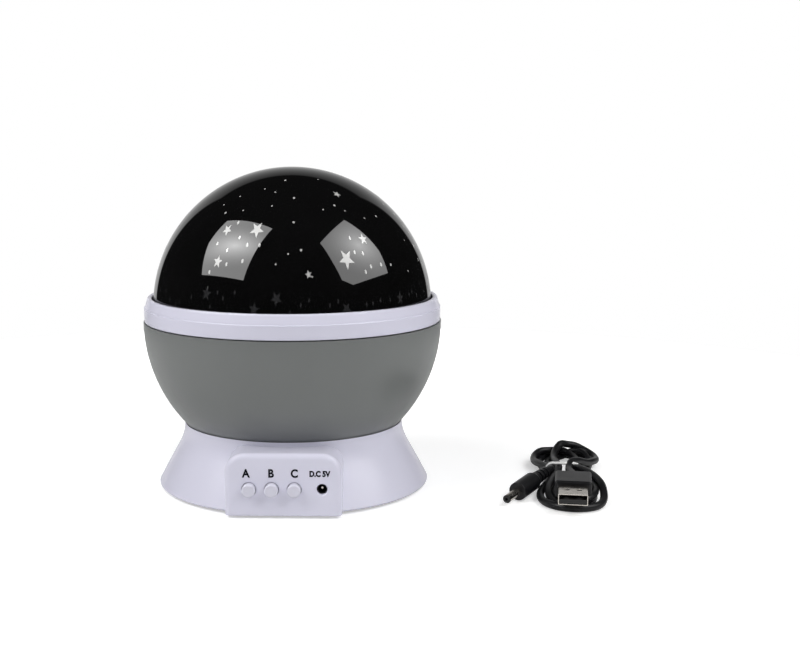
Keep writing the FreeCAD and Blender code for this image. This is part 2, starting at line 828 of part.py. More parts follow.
def drive_gear():
    bore = post_radius + running_gap
    disc_part = gear(drive_teeth, second_module, drive_bottom, drive_top, 0, 0, double_gear_angle, bore)
    boss = tube(second_module * drive_teeth / 2 - 3.5, bore, drive_bottom, floor_bottom)
    foot = tube(washer_radius, bore, hub_bottom, drive_bottom)
    wheel = disc_part.multiFuse([boss, foot])
    holes = []
    for x, y in drive_screw_places():
        holes.append(disc(screw_radius + screw_gap, drive_bottom - 1, floor_bottom + 1, x, y))
    for angle in (60, 180, 300):
        x, y = polar(web_circle, angle)
        holes.append(disc(web_hole, drive_bottom - 1, floor_bottom + 1, x, y))
    return wheel.cut(holes[0].multiFuse(holes[1:]))


def drive_screw_places():
    return [polar(web_circle, angle) for angle in (0, 120, 240)]


def drive_screws():
    screws = []
    for x, y in drive_screw_places():
        head = cross_head(x, y, floor_top, floor_top + small_head_height, small_head, True)
        screws.append(head.fuse(disc(screw_radius, drive_bottom + 0.2, floor_top, x, y)))
    return Part.makeCompound(screws)


def double_gear():
    bore = axle_radius + running_gap
    large = gear(wheel_teeth, first_module, wheel_bottom, wheel_top, double_x, double_y, motor_angle, bore)
    gap_to_drive = double_gear_angle + 180 + 180 / small_teeth
    small = gear(small_teeth, second_module, wheel_top, drive_top + 0.1, double_x, double_y,
                 gap_to_drive, bore)
    return large.fuse(small)


def gear_axle():
    return disc(axle_radius, deck_bottom - 3, drive_top + 0.75, double_x, double_y)


def axle_clip():
    low = drive_top + 0.2
    clip = tube(axle_radius + 1.4, axle_radius, low, low + 0.4, double_x, double_y)
    return clip.cut(block(double_x, double_x + 4, double_y - 0.5, double_y + 0.5, low - 1, low + 1))


def motor_pinion():
    gap_to_wheel = motor_angle + 180 + 180 / pinion_teeth
    return gear(pinion_teeth, first_module, wheel_bottom - 0.1, wheel_bottom - 0.1 + pinion_face,
                motor_x, motor_y, gap_to_wheel, shaft_radius)


def motor_shaft():
    return disc(shaft_radius, motor_low + 3, wheel_bottom + pinion_face, motor_x, motor_y)


def motor_can():
    """Geared motor: round can, mounting plate with two ears and the boss of its output."""
    face = motor_top
    low = motor_low
    can = disc(motor_radius, low, face - motor_plate, motor_x, motor_y)
    foot = [edge for edge in can.Edges if edge.BoundBox.ZMax < low + 0.01]
    can = can.makeFillet(0.8, foot)
    plate = disc(motor_radius - 0.5, face - motor_plate, face, motor_x, motor_y)
    ears = []
    for x, y in motor_ear_places():
        ears.append(disc(motor_ear_radius, face - motor_plate, face, x, y))
    strap = block(motor_x - motor_ear, motor_x + motor_ear, motor_y - motor_ear_radius,
                  motor_y + motor_ear_radius, face - motor_plate, face)
    boss = disc(motor_boss, face, deck_top, motor_x, motor_y)
    body = can.multiFuse([plate, strap, boss] + ears)
    body = body.cut(disc(shaft_radius + running_gap, low + 2.5, deck_top + 1, motor_x, motor_y))
    for x, y in motor_ear_places():
        body = body.cut(disc(screw_radius + screw_gap, face - 3, face + 1, x, y))
    return body


def motor_end_cap():
    """Plastic end cap under the can."""
    return disc(motor_radius - motor_cap_inset, motor_low - motor_cap, motor_low, motor_x, motor_y)


def motor_tags():
    """Two contact tags that leave the edge of the end cap."""
    low = tag_height() - tag_thick / 2
    edge = motor_y - motor_radius
    cap = disc(motor_radius - motor_cap_inset, low - 1, low + 2, motor_x, motor_y)
    tags = []
    for side in (-1, 1):
        x = motor_x + side * tag_spread
        tag = block(x - tag_half_width, x + tag_half_width, tag_front(), edge + motor_cap_inset + 1,
                    low, low + tag_thick)
        tags.append(tag.cut(cap))
    return Part.makeCompound(tags)


def tag_front():
    return motor_y - motor_radius - 0.6


def tag_height():
    return motor_low - motor_cap / 2


def motor_screws():
    screws = []
    top = motor_top - motor_plate
    for x, y in motor_ear_places():
        head = cross_head(x, y, top - small_head_height, top, small_head, False)
        screws.append(head.fuse(disc(screw_radius, top, deck_top - 0.3, x, y)))
    return Part.makeCompound(screws)


# --- Post, washers and lamps -----------------------------------------------------------------
def groove_bottom():
    return floor_top + thrust_play + washer_thick + 0.02


def led_post():
    bore = post_radius - post_wall
    post = tube(post_radius, bore, deck_top, post_top)
    post = post.fuse(tube(post_flange_radius, bore, deck_top, flange_top))
    low = groove_bottom()
    post = post.cut(tube(post_radius + 1, post_radius - clip_depth, low, low + clip_thick + 0.1))
    for x, y in post_screw_places():
        post = post.cut(disc(screw_radius + screw_gap, deck_top - 1, flange_top - 0.4, x, y))
    return post


def post_screws():
    screws = []
    for x, y in post_screw_places():
        head = cross_head(x, y, deck_bottom - small_head_height, deck_bottom, small_head, False)
        screws.append(head.fuse(disc(screw_radius, deck_bottom, flange_top - 0.5, x, y)))
    return Part.makeCompound(screws)


def thrust_washer():
    return tube(washer_radius, post_radius + 0.2, flange_top, flange_top + washer_thick)


def top_washer():
    low = floor_top + thrust_play
    return tube(washer_radius, post_radius + 0.2, low, low + washer_thick)


def post_clip():
    """Open spring clip in the post's groove, over the top washer."""
    low = groove_bottom() + 0.02
    inner = post_radius - clip_depth + 0.05
    clip = tube(inner + clip_width, inner, low, low + clip_thick)
    return clip.cut(block(0, 20, -1.6, 1.6, low - 1, low + 2))


def led_holder():
    inner = post_radius + 0.05
    low = post_top - holder_sleeve
    sleeve = tube(inner + holder_wall, inner, low, post_top + 0.1)
    plate = tube(holder_radius, post_radius - post_wall, post_top, holder_top)
    holder = sleeve.fuse(plate)
    for x, y in board_screw_places():
        holder = holder.cut(disc(screw_radius + screw_gap, post_top - 1, holder_top + 1, x, y))
    return holder


def board_screw_places():
    reach = lamp_board_radius - lamp_screw_inset
    return [(-reach, 0), (reach, 0)]


def led_board():
    board = disc(lamp_board_radius, holder_top, lamp_board_top)
    for x, y in board_screw_places():
        board = board.cut(disc(screw_radius + 0.15, holder_top - 1, lamp_board_top + 1, x, y))
    return board


def led_board_screws():
    screws = []
    for x, y in board_screw_places():
        head = cross_head(x, y, lamp_board_top, lamp_board_top + small_head_height, small_head, True)
        screws.append(head.fuse(disc(screw_radius, post_top + 0.1, lamp_board_top, x, y)))
    return Part.makeCompound(screws)


def led(angle):
    """Round-topped lamp with a rim, standing on two legs."""
    x, y = polar(led_circle, angle)
    low = lamp_board_top + led_stand
    rim = disc(led_rim, low, low + 1.0, x, y)
    body = disc(led_radius, low, low + led_body, x, y)
    top = Part.makeSphere(led_radius, Vector(x, y, low + led_body))
    legs = []
    for side in (-1, 1):
        legs.append(block(x + side * 1.27 - 0.25, x + side * 1.27 + 0.25, y - 0.25, y + 0.25,
                          lamp_board_top, low + 0.1))
    return rim.multiFuse([body, top] + legs)


# --- Wires and cords ----------------------------------------------------------------------
def tube_along(route, radius, report=""):
    """Round tube along straight runs joined by arcs, each as large as its two runs allow."""
    points = [Vector(*point) for point in route]
    edges = []
    bends = []
    here = points[0]
    for before, corner, after in zip(points, points[1:], points[2:]):
        into = corner.sub(before)
        out = after.sub(corner)
        turn = into.getAngle(out)
        trim = 0.45 * min(into.Length, out.Length)
        bends.append(trim / math.tan(turn / 2))
        unit_in = Vector(into).normalize()
        unit_out = Vector(out).normalize()
        start = corner.sub(Vector(unit_in).multiply(trim))
        end = corner.add(Vector(unit_out).multiply(trim))
        inward = Vector(unit_out).sub(unit_in).normalize()
        middle_gap = bends[-1] / math.cos(turn / 2) - bends[-1]
        middle = corner.add(inward.multiply(middle_gap))
        edges.append(Part.LineSegment(here, start).toShape())
        edges.append(Part.Arc(start, middle, end).toShape())
        here = end
    edges.append(Part.LineSegment(here, points[-1]).toShape())
    path = Part.Wire(edges)
    direction = points[1].sub(points[0])
    ring = Part.Wire([Part.Circle(points[0], direction, radius).toShape()])
    solid = path.makePipeShell([ring], True, False)
    if report:
        share = solid.Volume / (math.pi * radius ** 2 * path.Length)
        radii = " ".join("%.1f" % bend for bend in bends)
        print("%s: length %.1f, volume share %.3f, bend radii %s" % (report, path.Length, share, radii))
    return solid


def led_wires():
    """Bundle from the lamp board down the hollow post and under the deck to the board."""
    under = deck_bottom - 1.3
    route = [
        (0, 0, holder_top),
        (0.3, 0, 40),
        (0, 0, deck_top - 0.5),
        (4, 0.6, under),
        (13, 1, under),
        (21, -7, under),
        (25.5, -16, under - 0.4),
        (25, board_back_face + 20.4, under - 3),
        (board_half - 0.6, board_back_face + 11.4, 10),
        (board_half - 4.1, board_back_face + 4, 9),
        (board_half - 4.1, board_back_face, 9),
    ]
    return tube_along(route, wire_radius, "led_wires")


def motor_wires():
    wires = []
    for side in (-1, 1):
        x = motor_x + side * tag_spread
        low = tag_height()
        route = [
            (x, tag_front(), low),
            (x, tag_front() - 2.5, low + 0.4),
            (x + side * 0.6, board_back_face + 4, 8.2),
            (x + side * 0.6, board_back_face, 8.2),
        ]
        wires.append(tube_along(route, wire_radius * 0.7))
    return Part.makeCompound(wires)


def battery_wires():
    wires = []
    for side in (-1, 1):
        x = side * (bay_half_width - cell_pitch / 2)
        front = bay_front - bay_wall
        route = [
            (x, front, cell_axis),
            (x, front - 8, cell_axis),
            (x + side * 1.5, board_back_face + 15.4, 7),
            (x + side * 0.4, board_back_face + 4, 6.6),
            (x + side * 0.4, board_back_face, 6.6),
        ]
        wires.append(tube_along(route, wire_radius * 0.7))
    return Part.makeCompound(wires)


# --- Bowl, ring, dome and film --------------------------------------------------------------
def bowl():
    inner = ball_radius - bowl_wall
    spigot_inner = spigot_outer - spigot_wall
    shell = ball(ball_radius, ball_centre).common(disc(far, floor_bottom, bowl_rim))
    floor_edge = sphere_radius_at(floor_bottom, ball_radius, ball_centre)
    shell = round_circles(shell, 0.5, [(floor_edge, floor_bottom)])
    hollow = ball(inner, ball_centre).common(disc(far, floor_top, bowl_rim + 1))
    shell = shell.cut(hollow)
    step = bowl_rim - spigot_step
    root = sphere_radius_at(step, inner, ball_centre) + bowl_wall / 2
    outline = [
        (spigot_inner, step),
        (spigot_inner, clamp_bottom - 0.02),
        (spigot_outer, clamp_bottom - 0.02),
        (spigot_outer, bowl_rim),
        (root, bowl_rim),
        (root, step - 3),
    ]
    shell = shell.fuse(turned(outline))
    shell = shell.cut(disc(post_radius + post_hole_gap, floor_bottom - 1, floor_top + 1))
    for x, y in drive_screw_places():
        shell = shell.cut(disc(screw_radius + 0.15, floor_bottom - 1, floor_top + 1, x, y))
    return shell


def dome_ring():
    inner = ring_radius - ring_wall
    hole = dome_radius + dome_gap
    ring = turned([
        (inner, ring_bottom),
        (ring_radius - 0.1, ring_bottom),
        (ring_radius, ledge),
        (lip_foot_radius, ledge),
        (lip_top_radius, lip_top),
        (hole, lip_top),
        (hole, ledge),
        (inner, ledge),
    ])
    ring = round_circles(ring, ledge_round, [(ring_radius, ledge)])
    ring = round_circles(ring, lip_round, [(lip_top_radius, lip_top), (hole, lip_top)])
    return round_circles(ring, 0.3, [(ring_radius - 0.1, ring_bottom)])


def dome_shell():
    inner = dome_radius - dome_wall
    outer = ball(dome_radius, dome_centre).common(disc(far, dome_centre, dome_centre + far))
    outer = outer.fuse(disc(dome_radius, flange_lower, dome_centre))
    outer = outer.fuse(disc(spigot_outer, flange_lower, flange_upper - 0.02))
    hollow = ball(inner, dome_centre).common(disc(far, dome_centre, dome_centre + far))
    hollow = hollow.fuse(disc(inner, flange_lower - 1, dome_centre))
    return outer.cut(hollow)


def star_film():
    outer = dome_radius - dome_wall - film_gap
    inner = outer - film_thick
    low = clamp_bottom + 0.2
    film = ball(outer, dome_centre).common(disc(far, dome_centre, dome_centre + far))
    film = film.fuse(disc(outer, low, dome_centre))
    hollow = ball(inner, dome_centre).common(disc(far, dome_centre, dome_centre + far))
    return film.cut(hollow.fuse(disc(inner, low - 1, dome_centre)))


def clamp_ring():
    inner = dome_radius - dome_wall
    return tube(spigot_outer, inner, clamp_bottom, clamp_bottom + clamp_height)


# --- Lead ---------------------------------------------------------------------------------
def on_table(shape):
    """Move a piece of the lead from its own place, tie at the origin, onto the table."""
    shape.rotate(Vector(0, 0, 0), Vector(0, 0, 1), lead_turn)
    shape.translate(Vector(lead_place[0], lead_place[1], 0))
    return shape


def aimed(shape, start, direction):
    """Turn a piece made along +Z so that it runs from start along direction."""
    turn = FreeCAD.Rotation(Vector(0, 0, 1), Vector(*direction))
    shape.Placement = FreeCAD.Placement(Vector(*start), turn)
    return shape


relief_start = (-7.4, -9.6, 6.5)
plug_direction = (-0.40, -0.912, -0.085)
usb_x = 4.6
usb_middle = usb_lift + usb_grip_size[2] / 2
usb_neck_back = -19.2
dc_tail_route = [(-4.8, -3.7, 7.05), (-7.76, -10.42, 6.42)]
usb_tail_route = [(2.4, hank_end + 1, 6.2), (3.7, -10.0, 6.9), (usb_x, -15.0, 7.3),
                  (usb_x, usb_neck_back - 0.8, usb_middle)]


def plug_spot(distance):
    length = math.sqrt(sum(value ** 2 for value in plug_direction))
    return tuple(s + d * distance / length for s, d in zip(relief_start, plug_direction))


def dc_plug_grip():
    cone = Part.makeCone(relief_small, relief_large, relief)
    for index in range(3):
        low = 2.2 + 3.2 * index
        outer = disc(5, low, low + 1.2)
        groove = outer.cut(disc(cord_radius + 0.35, low - 1, low + 2))
        keep = block(-0.7, 0.7, -6, 6, low - 1, low + 3)
        cone = cone.cut(groove.cut(keep))
    shoulder = Part.makeCone(relief_large, plug_grip_radius, 2.0, Vector(0, 0, relief - 0.01))
    grip = disc(plug_grip_radius, relief + 1.9, relief + plug_grip)
    end = [edge for edge in grip.Edges if edge.BoundBox.ZMin > relief + plug_grip - 0.01]
    grip = grip.makeFillet(0.5, end)
    body = cone.multiFuse([shoulder, grip])
    return on_table(aimed(body, relief_start, plug_direction))


def dc_plug_barrel():
    metal = tube(barrel_radius, barrel_radius - barrel_wall, 0, barrel)
    return on_table(aimed(metal, plug_spot(relief + plug_grip), plug_direction))


def dc_plug_tip():
    sleeve = tube(barrel_radius - barrel_wall, barrel_bore, 0, barrel)
    collar = tube(barrel_radius, barrel_bore, barrel, barrel + barrel_tip)
    rim = [edge for edge in collar.Edges if edge.BoundBox.ZMin > barrel + barrel_tip - 0.01
           and edge.BoundBox.XLength > 3]
    collar = collar.makeFillet(0.3, rim)
    return on_table(aimed(sleeve.fuse(collar), plug_spot(relief + plug_grip), plug_direction))


def lobe(outline, height):
    """Flat body with a smooth side outline that is closed by a straight edge."""
    points = [Vector(u, v, 0) for u, v in outline]
    curve = Part.BSplineCurve()
    curve.interpolate(points)
    closing = Part.LineSegment(points[-1], points[0]).toShape()
    return Part.Face(Part.Wire([curve.toShape(), closing])).extrude(Vector(0, 0, height))


def cord_hank():
    """Outer shape of the tied hank: high tied part and upper loops, one layer of lower loops."""
    upper = lobe([(-6.6, hank_end), (-6.8, 4), (-11, 13), (-15.6, 25), (-12, 37), (-2, 43.6),
                  (9, 41.5), (16.6, 34), (17.4, 24), (12.5, 13), (7.4, 4), (7.0, hank_end)], hank_height)
    lower = lobe([(7.0, hank_end + 1), (11.5, -14), (18.2, -27), (19.4, -37), (14, -47), (5, -49.5),
                  (-3.5, -47), (-8.8, -39), (-9.6, -30), (-8.2, -20), (-6.6, hank_end + 1)],
                 2 * cord_radius)
    return on_table(upper.fuse(lower))


def cord_dc_tail():
    return on_table(tube_along(dc_tail_route, cord_radius, "cord_dc_tail"))


def cord_usb_tail():
    return on_table(tube_along(usb_tail_route, cord_radius, "cord_usb_tail"))


def cable_tie():
    half = tie_width / 2
    top = hank_height + tie_rise
    outer = block(tie_left, tie_right, -half, half, 0, top)
    corners = [edge for edge in outer.Edges if edge.BoundBox.YLength > 1]
    outer = outer.makeFillet(tie_corner, corners)
    inner = block(tie_left + tie_wire, tie_right - tie_wire, -5, 5, tie_wire, top - tie_wire)
    corners = [edge for edge in inner.Edges if edge.BoundBox.YLength > 1]
    return on_table(outer.cut(inner.makeFillet(tie_corner - tie_wire, corners)))


def usb_block(size, front, rounding):
    """Rounded block of the plug, lying along -Y from front, centred on the plug's axis."""
    width, length, height = size
    body = block(usb_x - width / 2, usb_x + width / 2, front - length, front,
                 usb_middle - height / 2, usb_middle + height / 2)
    if rounding:
        body = body.makeFillet(rounding, body.Edges)
    return body


def usb_grip():
    neck = usb_block((usb_neck_size[0], usb_neck_size[1] + 1, usb_neck_size[2]), usb_neck_back, 0)
    sides = [edge for edge in neck.Edges if edge.BoundBox.YLength > 1]
    neck = neck.makeFillet(2.0, sides)
    grip = usb_block(usb_grip_size, usb_neck_back - usb_neck_size[1], 1.2)
    return on_table(neck.fuse(grip))


def usb_front():
    return usb_neck_back - usb_neck_size[1] - usb_grip_size[1]


def usb_shell():
    """Folded sheet shell with two square windows in its upper and its lower side."""
    width, length, height = usb_shell_size
    outer = usb_block(usb_shell_size, usb_front(), 0)
    sides = [edge for edge in outer.Edges if edge.BoundBox.YLength > 1]
    outer = outer.makeFillet(0.5, sides)
    thin = usb_shell_wall
    inner = usb_block((width - 2 * thin, length + 2, height - 2 * thin), usb_front() + 1, 0)
    shell = outer.cut(inner)
    y = usb_front() - length + usb_window_place[1]
    across, along = usb_window[0] / 2, usb_window[1] / 2
    for side in (-1, 1):
        x = usb_x + side * usb_window_place[0]
        shell = shell.cut(block(x - across, x + across, y - along, y + along, 0, 20))
    return on_table(shell)


def usb_tongue_piece():
    """Insulator tongue in the lower half of the shell, with the end wall that holds it."""
    width, length, height = usb_shell_size
    inside = width / 2 - usb_shell_wall - 0.05
    low = usb_middle - height / 2 + usb_shell_wall + 0.05
    high = usb_middle + height / 2 - usb_shell_wall - 0.05
    tongue = block(usb_x - inside, usb_x + inside, usb_front() - length + 0.4, usb_front(), low,
                   low + usb_tongue)
    end = block(usb_x - inside, usb_x + inside, usb_front() - 2.5, usb_front(), low, high)
    return on_table(tongue.fuse(end))


os.makedirs("parts", exist_ok=True)

save("base_housing", base_housing())
save("bottom_cover", bottom_cover())
save("battery_door", battery_door())
save("rubber_feet", rubber_feet())
save("housing_screws", housing_screws())
save("contact_plates", contact_plates())
save("contact_springs", contact_springs())
save("control_board", control_board())
save("control_parts", control_parts())
save("tact_switches", tact_switches())
for letter, place in button_row.items():
    save("plunger_" + letter, plunger(place))
    save("button_" + letter, button(place))
save("dc_jack", dc_jack())
save("dc_jack_pin", dc_jack_pin())
save("motor_can", motor_can())
save("motor_end_cap", motor_end_cap())
save("motor_tags", motor_tags())
save("motor_screws", motor_screws())
save("motor_shaft", motor_shaft())
save("motor_pinion", motor_pinion())
save("double_gear", double_gear())
save("gear_axle", gear_axle())
save("axle_clip", axle_clip())
save("drive_gear", drive_gear())
save("drive_screws", drive_screws())
save("thrust_washer", thrust_washer())
save("top_washer", top_washer())
save("post_clip", post_clip())
save("led_post", led_post())
save("post_screws", post_screws())
save("led_holder", led_holder())
save("led_board", led_board())
save("led_board_screws", led_board_screws())
for colour, angle in (("white", 45), ("red", 135), ("green", 225), ("blue", 315)):
    save("led_" + colour, led(angle))
save("led_wires", led_wires())
save("motor_wires", motor_wires())
save("battery_wires", battery_wires())
save("bowl", bowl())
save("dome_ring", dome_ring())
save("dome_shell", dome_shell())
save("star_film", star_film())
save("clamp_ring", clamp_ring())
save("dc_plug_grip", dc_plug_grip())
save("dc_plug_barrel", dc_plug_barrel())
save("dc_plug_tip", dc_plug_tip())
save("cord_dc_tail", cord_dc_tail())
save("cord_hank", cord_hank())
save("cord_usb_tail", cord_usb_tail())
save("cable_tie", cable_tie())
save("usb_grip", usb_grip())
save("usb_shell", usb_shell())
save("usb_tongue", usb_tongue_piece())
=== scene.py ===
import json
import math
import random

import bpy
from mathutils import Matrix, Vector


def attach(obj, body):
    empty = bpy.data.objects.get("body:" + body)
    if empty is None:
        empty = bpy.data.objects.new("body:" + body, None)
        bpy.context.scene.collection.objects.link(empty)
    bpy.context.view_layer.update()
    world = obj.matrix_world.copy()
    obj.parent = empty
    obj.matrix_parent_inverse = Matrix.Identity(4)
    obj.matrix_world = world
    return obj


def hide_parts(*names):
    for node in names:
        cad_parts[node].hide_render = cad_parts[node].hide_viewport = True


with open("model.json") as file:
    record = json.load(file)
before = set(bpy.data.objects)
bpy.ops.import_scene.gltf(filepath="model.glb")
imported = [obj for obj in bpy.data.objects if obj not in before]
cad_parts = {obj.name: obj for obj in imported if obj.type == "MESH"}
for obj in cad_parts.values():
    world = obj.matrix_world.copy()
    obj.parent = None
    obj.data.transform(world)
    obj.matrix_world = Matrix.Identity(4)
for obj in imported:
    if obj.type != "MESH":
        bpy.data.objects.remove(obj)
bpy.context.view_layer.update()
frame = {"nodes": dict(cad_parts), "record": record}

MM = 0.001

# --- Camera: the photograph's view, from a little over the dome's height ------------------------
CAMERA_PLACE = (42.93 * MM, -557.92 * MM, 154.03 * MM)
CAMERA_TURN = (math.radians(90 - 8.709), 0.0, math.radians(1.164))
CAMERA_LENS = 57.216
CAMERA_SHIFT = 0.0446      # the photograph is a crop whose middle lies right of its lens axis

# --- Shape of the lamp, repeated from the CAD model ---------------------------------------------
DOME_RADIUS = 61.2
DOME_CENTRE = 78.9
DOME_WALL = 1.2
DOME_FOOT = 78.4           # underside of the dome's flange, which stands on the ring's ledge
FLANGE_RADIUS = 62.55
FLANGE_TOP = 79.68
PANEL = -60.9
BUTTON_ROW = (-13.9, -4.7, 4.5)

# --- Lead, in its own place: tie at the origin, x to the right and y away from the camera --------
LEAD_PLACE = (120.8, -1.5)
LEAD_TURN = math.radians(-8.2)
CORD = 3.3
DC_TAIL = [(-7.76, -10.42, 6.42), (-6.3, -7.2, 6.75), (-5.3, -3.9, 6.6)]
USB_TAIL = [(2.4, -4.0, 6.2), (3.7, -10.0, 6.9), (4.6, -15.0, 7.3), (4.6, -20.0, 7.4)]
TIE_LOW = 2.55             # height of the lower strands where the tie holds them
TIE_HIGH = 5.85
TIE_REACH = 1.3            # how far from the tie's middle the strands are held, along the lead


def lead_point(point):
    """From the lead's own place in millimetres to the row frame in metres."""
    u, v, z = point
    cos, sin = math.cos(LEAD_TURN), math.sin(LEAD_TURN)
    x = LEAD_PLACE[0] + u * cos - v * sin
    y = LEAD_PLACE[1] + u * sin + v * cos
    return Vector((x * MM, y * MM, z * MM))


def make_camera():
    data = bpy.data.cameras.new("camera")
    data.lens = CAMERA_LENS
    data.sensor_width = 36.0
    data.clip_end = 50.0      # metres, beyond all lights
    data.shift_x = CAMERA_SHIFT
    camera = bpy.data.objects.new("camera", data)
    camera.location = CAMERA_PLACE
    camera.rotation_euler = CAMERA_TURN
    bpy.context.scene.collection.objects.link(camera)
    bpy.context.scene.camera = camera


make_camera()


# --- The cord -----------------------------------------------------------------------------------
# Each loop of the hank: up or down, its places across the tie where it starts and ends, its
# leftmost and rightmost reach, and its length.
LOOPS = [
    (1, -4.95, 4.95, -14.2, 4.9, 37.0),
    (-1, 4.95, -4.95, -8.4, 17.9, 48.0),
    (1, -4.95, 1.65, -10.9, 8.2, 42.0),
    (-1, 1.65, -1.65, -2.8, 13.9, 41.0),
    (1, -1.65, 4.95, -7.2, 11.8, 38.0),
    (-1, 4.95, -1.65, -5.4, 14.1, 44.6),
    (1, -1.65, 1.65, -3.8, 15.5, 40.2),
]
# Which strand lies over which, from the lowest, in the order in which the cord passes the tie.
STRAND_ORDER = (2, 2, 0, 0, 1, 1, 3, 3)
LOOP_POINTS = 60
POINT_SPACING = 1.0
LOOP_WAIST = 0.6      # higher brings the strands together sooner towards the tie
BEND_ROUNDS = 12      # rounds of smoothing that turn the kinks at the tie into bends
NEXT_POINTS = 9       # points this near along the cord belong to the same strand
REST_ROUNDS = 260     # rounds in which the strands come to rest on each other
STIFFNESS = 0.42      # share of each kink in height that a round takes out
SAG = 0.012           # how far a free strand sinks in a round
GIVE = 0.3            # share of an overlap that the lower strand gives way


def loop_points(loop, first_strand):
    """Points of one loop, each with the strand that it belongs to; the tie is left out."""
    side, start, end, left, right, length = loop
    middle = (left + right) / 2
    half = (right - left) / 2
    widest = max(
        math.sin(x) * ((1 - math.cos(x)) / 2) ** LOOP_WAIST
        for x in (math.radians(d) for d in range(1, 180))
    )
    turn = -1 if side > 0 else 1
    points = []
    for index in range(1, LOOP_POINTS):
        share = index / LOOP_POINTS
        angle = 2 * math.pi * share
        reach = (1 - math.cos(angle)) / 2
        bulge = abs(math.sin(angle)) * reach**LOOP_WAIST / widest
        ease = share * share * (3 - 2 * share)
        tied = (1 - reach) ** 2
        across = (start + (end - start) * ease) * tied + middle * (1 - tied)
        way = turn if share < 0.5 else -turn
        strand = first_strand if share < 0.5 else first_strand + 1
        points.append((across + way * half * bulge, side * length * reach, strand))
    return points


def even_points(points, spacing):
    """The same line with its points evenly spaced; the strand goes with each point."""
    out = [points[0]]
    carried = 0.0
    for a, b in zip(points, points[1:]):
        run = math.dist(a[:2], b[:2])
        while carried + run >= spacing:
            share = (spacing - carried) / run
            a = (a[0] + (b[0] - a[0]) * share, a[1] + (b[1] - a[1]) * share, a[2])
            out.append(a)
            run = math.dist(a[:2], b[:2])
            carried = 0.0
        carried += run
    return out


def bent(plan):
    """One round of smoothing: each point moves half way to the middle of its two neighbours."""
    out = [plan[0]]
    for before, here, after in zip(plan, plan[1:], plan[2:]):
        out.append(((before[0] + 2 * here[0] + after[0]) / 4,
                    (before[1] + 2 * here[1] + after[1]) / 4, here[2]))
    return out + [plan[-1]]


def settled_hank():
    """Points of the tied hank: strands that cross lie on each other, the rest on the table."""
    plan = []
    for number, loop in enumerate(LOOPS):
        plan.append((loop[1], 0.0, number))
        plan += loop_points(loop, number)
    plan.append((LOOPS[-1][2], 0.0, len(LOOPS)))
    plan = even_points(plan, POINT_SPACING)
    for _ in range(BEND_ROUNDS):
        plan = bent(plan)
    count = len(plan)
    level = [TIE_HIGH if STRAND_ORDER[p[2]] > 1 else TIE_LOW for p in plan]
    held = [abs(p[1]) < TIE_REACH for p in plan]
    pairs = []
    for i in range(count):
        for j in range(i + NEXT_POINTS, count):
            apart = math.dist(plan[i][:2], plan[j][:2])
            if apart >= CORD or held[i] and held[j]:
                continue
            rank_i, rank_j = STRAND_ORDER[plan[i][2]], STRAND_ORDER[plan[j][2]]
            if rank_i == rank_j:
                continue
            lower, upper = (i, j) if rank_i < rank_j else (j, i)
            pairs.append((lower, upper, math.sqrt(CORD**2 - apart**2)))
    height = [z if h else CORD / 2 for z, h in zip(level, held)]
    for _ in range(REST_ROUNDS):
        smooth = list(height)
        for i in range(1, count - 1):
            smooth[i] += STIFFNESS * (height[i - 1] + height[i + 1] - 2 * height[i]) - SAG
        height = [max(z, CORD / 2) for z in smooth]
        for lower, upper, gap in pairs:
            short = gap - (height[upper] - height[lower])
            if short > 0:
                drop = min(GIVE * short, height[lower] - CORD / 2)
                height[lower] -= drop
                height[upper] += short - drop
        height = [z if not h else fixed for z, h, fixed in zip(height, held, level)]
    return [(p[0], p[1], z) for p, z in zip(plan, height)]


def make_cord():
    """The lead's cord from plug to plug as one round curve, with its length in metres."""
    # Every second point of the hank is enough; its first and last ones leave room for the tails.
    route = DC_TAIL + settled_hank()[2:-2:2] + USB_TAIL
    length = sum(math.dist(a, b) for a, b in zip(route, route[1:]))
    data = bpy.data.curves.new("lead_cord", "CURVE")
    data.dimensions = "3D"
    data.bevel_depth = CORD / 2 * MM
    data.bevel_resolution = 5
    data.resolution_u = 3
    data.use_fill_caps = True
    spline = data.splines.new("NURBS")
    spline.points.add(len(route) - 1)
    for spot, point in zip(spline.points, route):
        spot.co = (*lead_point(point), 1.0)
    spline.order_u = 3
    spline.use_endpoint_u = True
    piece = bpy.data.objects.new("lead_cord", data)
    bpy.context.scene.collection.objects.link(piece)
    return piece, length * MM


cord, cord_length = make_cord()


# --- Materials ----------------------------------------------------------------------------------
# Scales of the noises and of the board's tracks, per metre.
CLOUDS = 30.0
PAINTED_LIGHT_CLOUDS = 60.0
UNEVEN_GLOSS = 160.0
DULL_SPOTS = 220.0
BOARD_TRACKS = 220.0
WIRE_NOISE = 300.0
BOARD_NOISE = 300.0
LAMP_CLOUDS = 400.0
RIPPLE = 700.0
METAL_MARKS = 900.0
PAPER_CLOUDS = 8.0


def shader(name):
    """A new material with its nodes, its links and its main shader."""
    material = bpy.data.materials.new(name)
    material.use_nodes = True
    nodes = material.node_tree.nodes
    return material, nodes, material.node_tree.links, nodes["Principled BSDF"]


def grain(nodes, links, scale, detail=3.0):
    """Noise in the piece's own place, so that it stays on the piece; scale is per metre."""
    place = nodes.new("ShaderNodeTexCoord")
    noise = nodes.new("ShaderNodeTexNoise")
    noise.inputs["Scale"].default_value = scale
    noise.inputs["Detail"].default_value = detail
    links.new(place.outputs["Object"], noise.inputs["Vector"])
    return noise.outputs["Fac"]


def spread(nodes, links, value, low, high, from_low=0.3, from_high=0.7):
    """Maps a value's range, by default that of the noise, onto low to high."""
    ranged = nodes.new("ShaderNodeMapRange")
    ranged.inputs["From Min"].default_value = from_low
    ranged.inputs["From Max"].default_value = from_high
    ranged.inputs["To Min"].default_value = low
    ranged.inputs["To Max"].default_value = high
    links.new(value, ranged.inputs["Value"])
    return ranged.outputs["Result"]


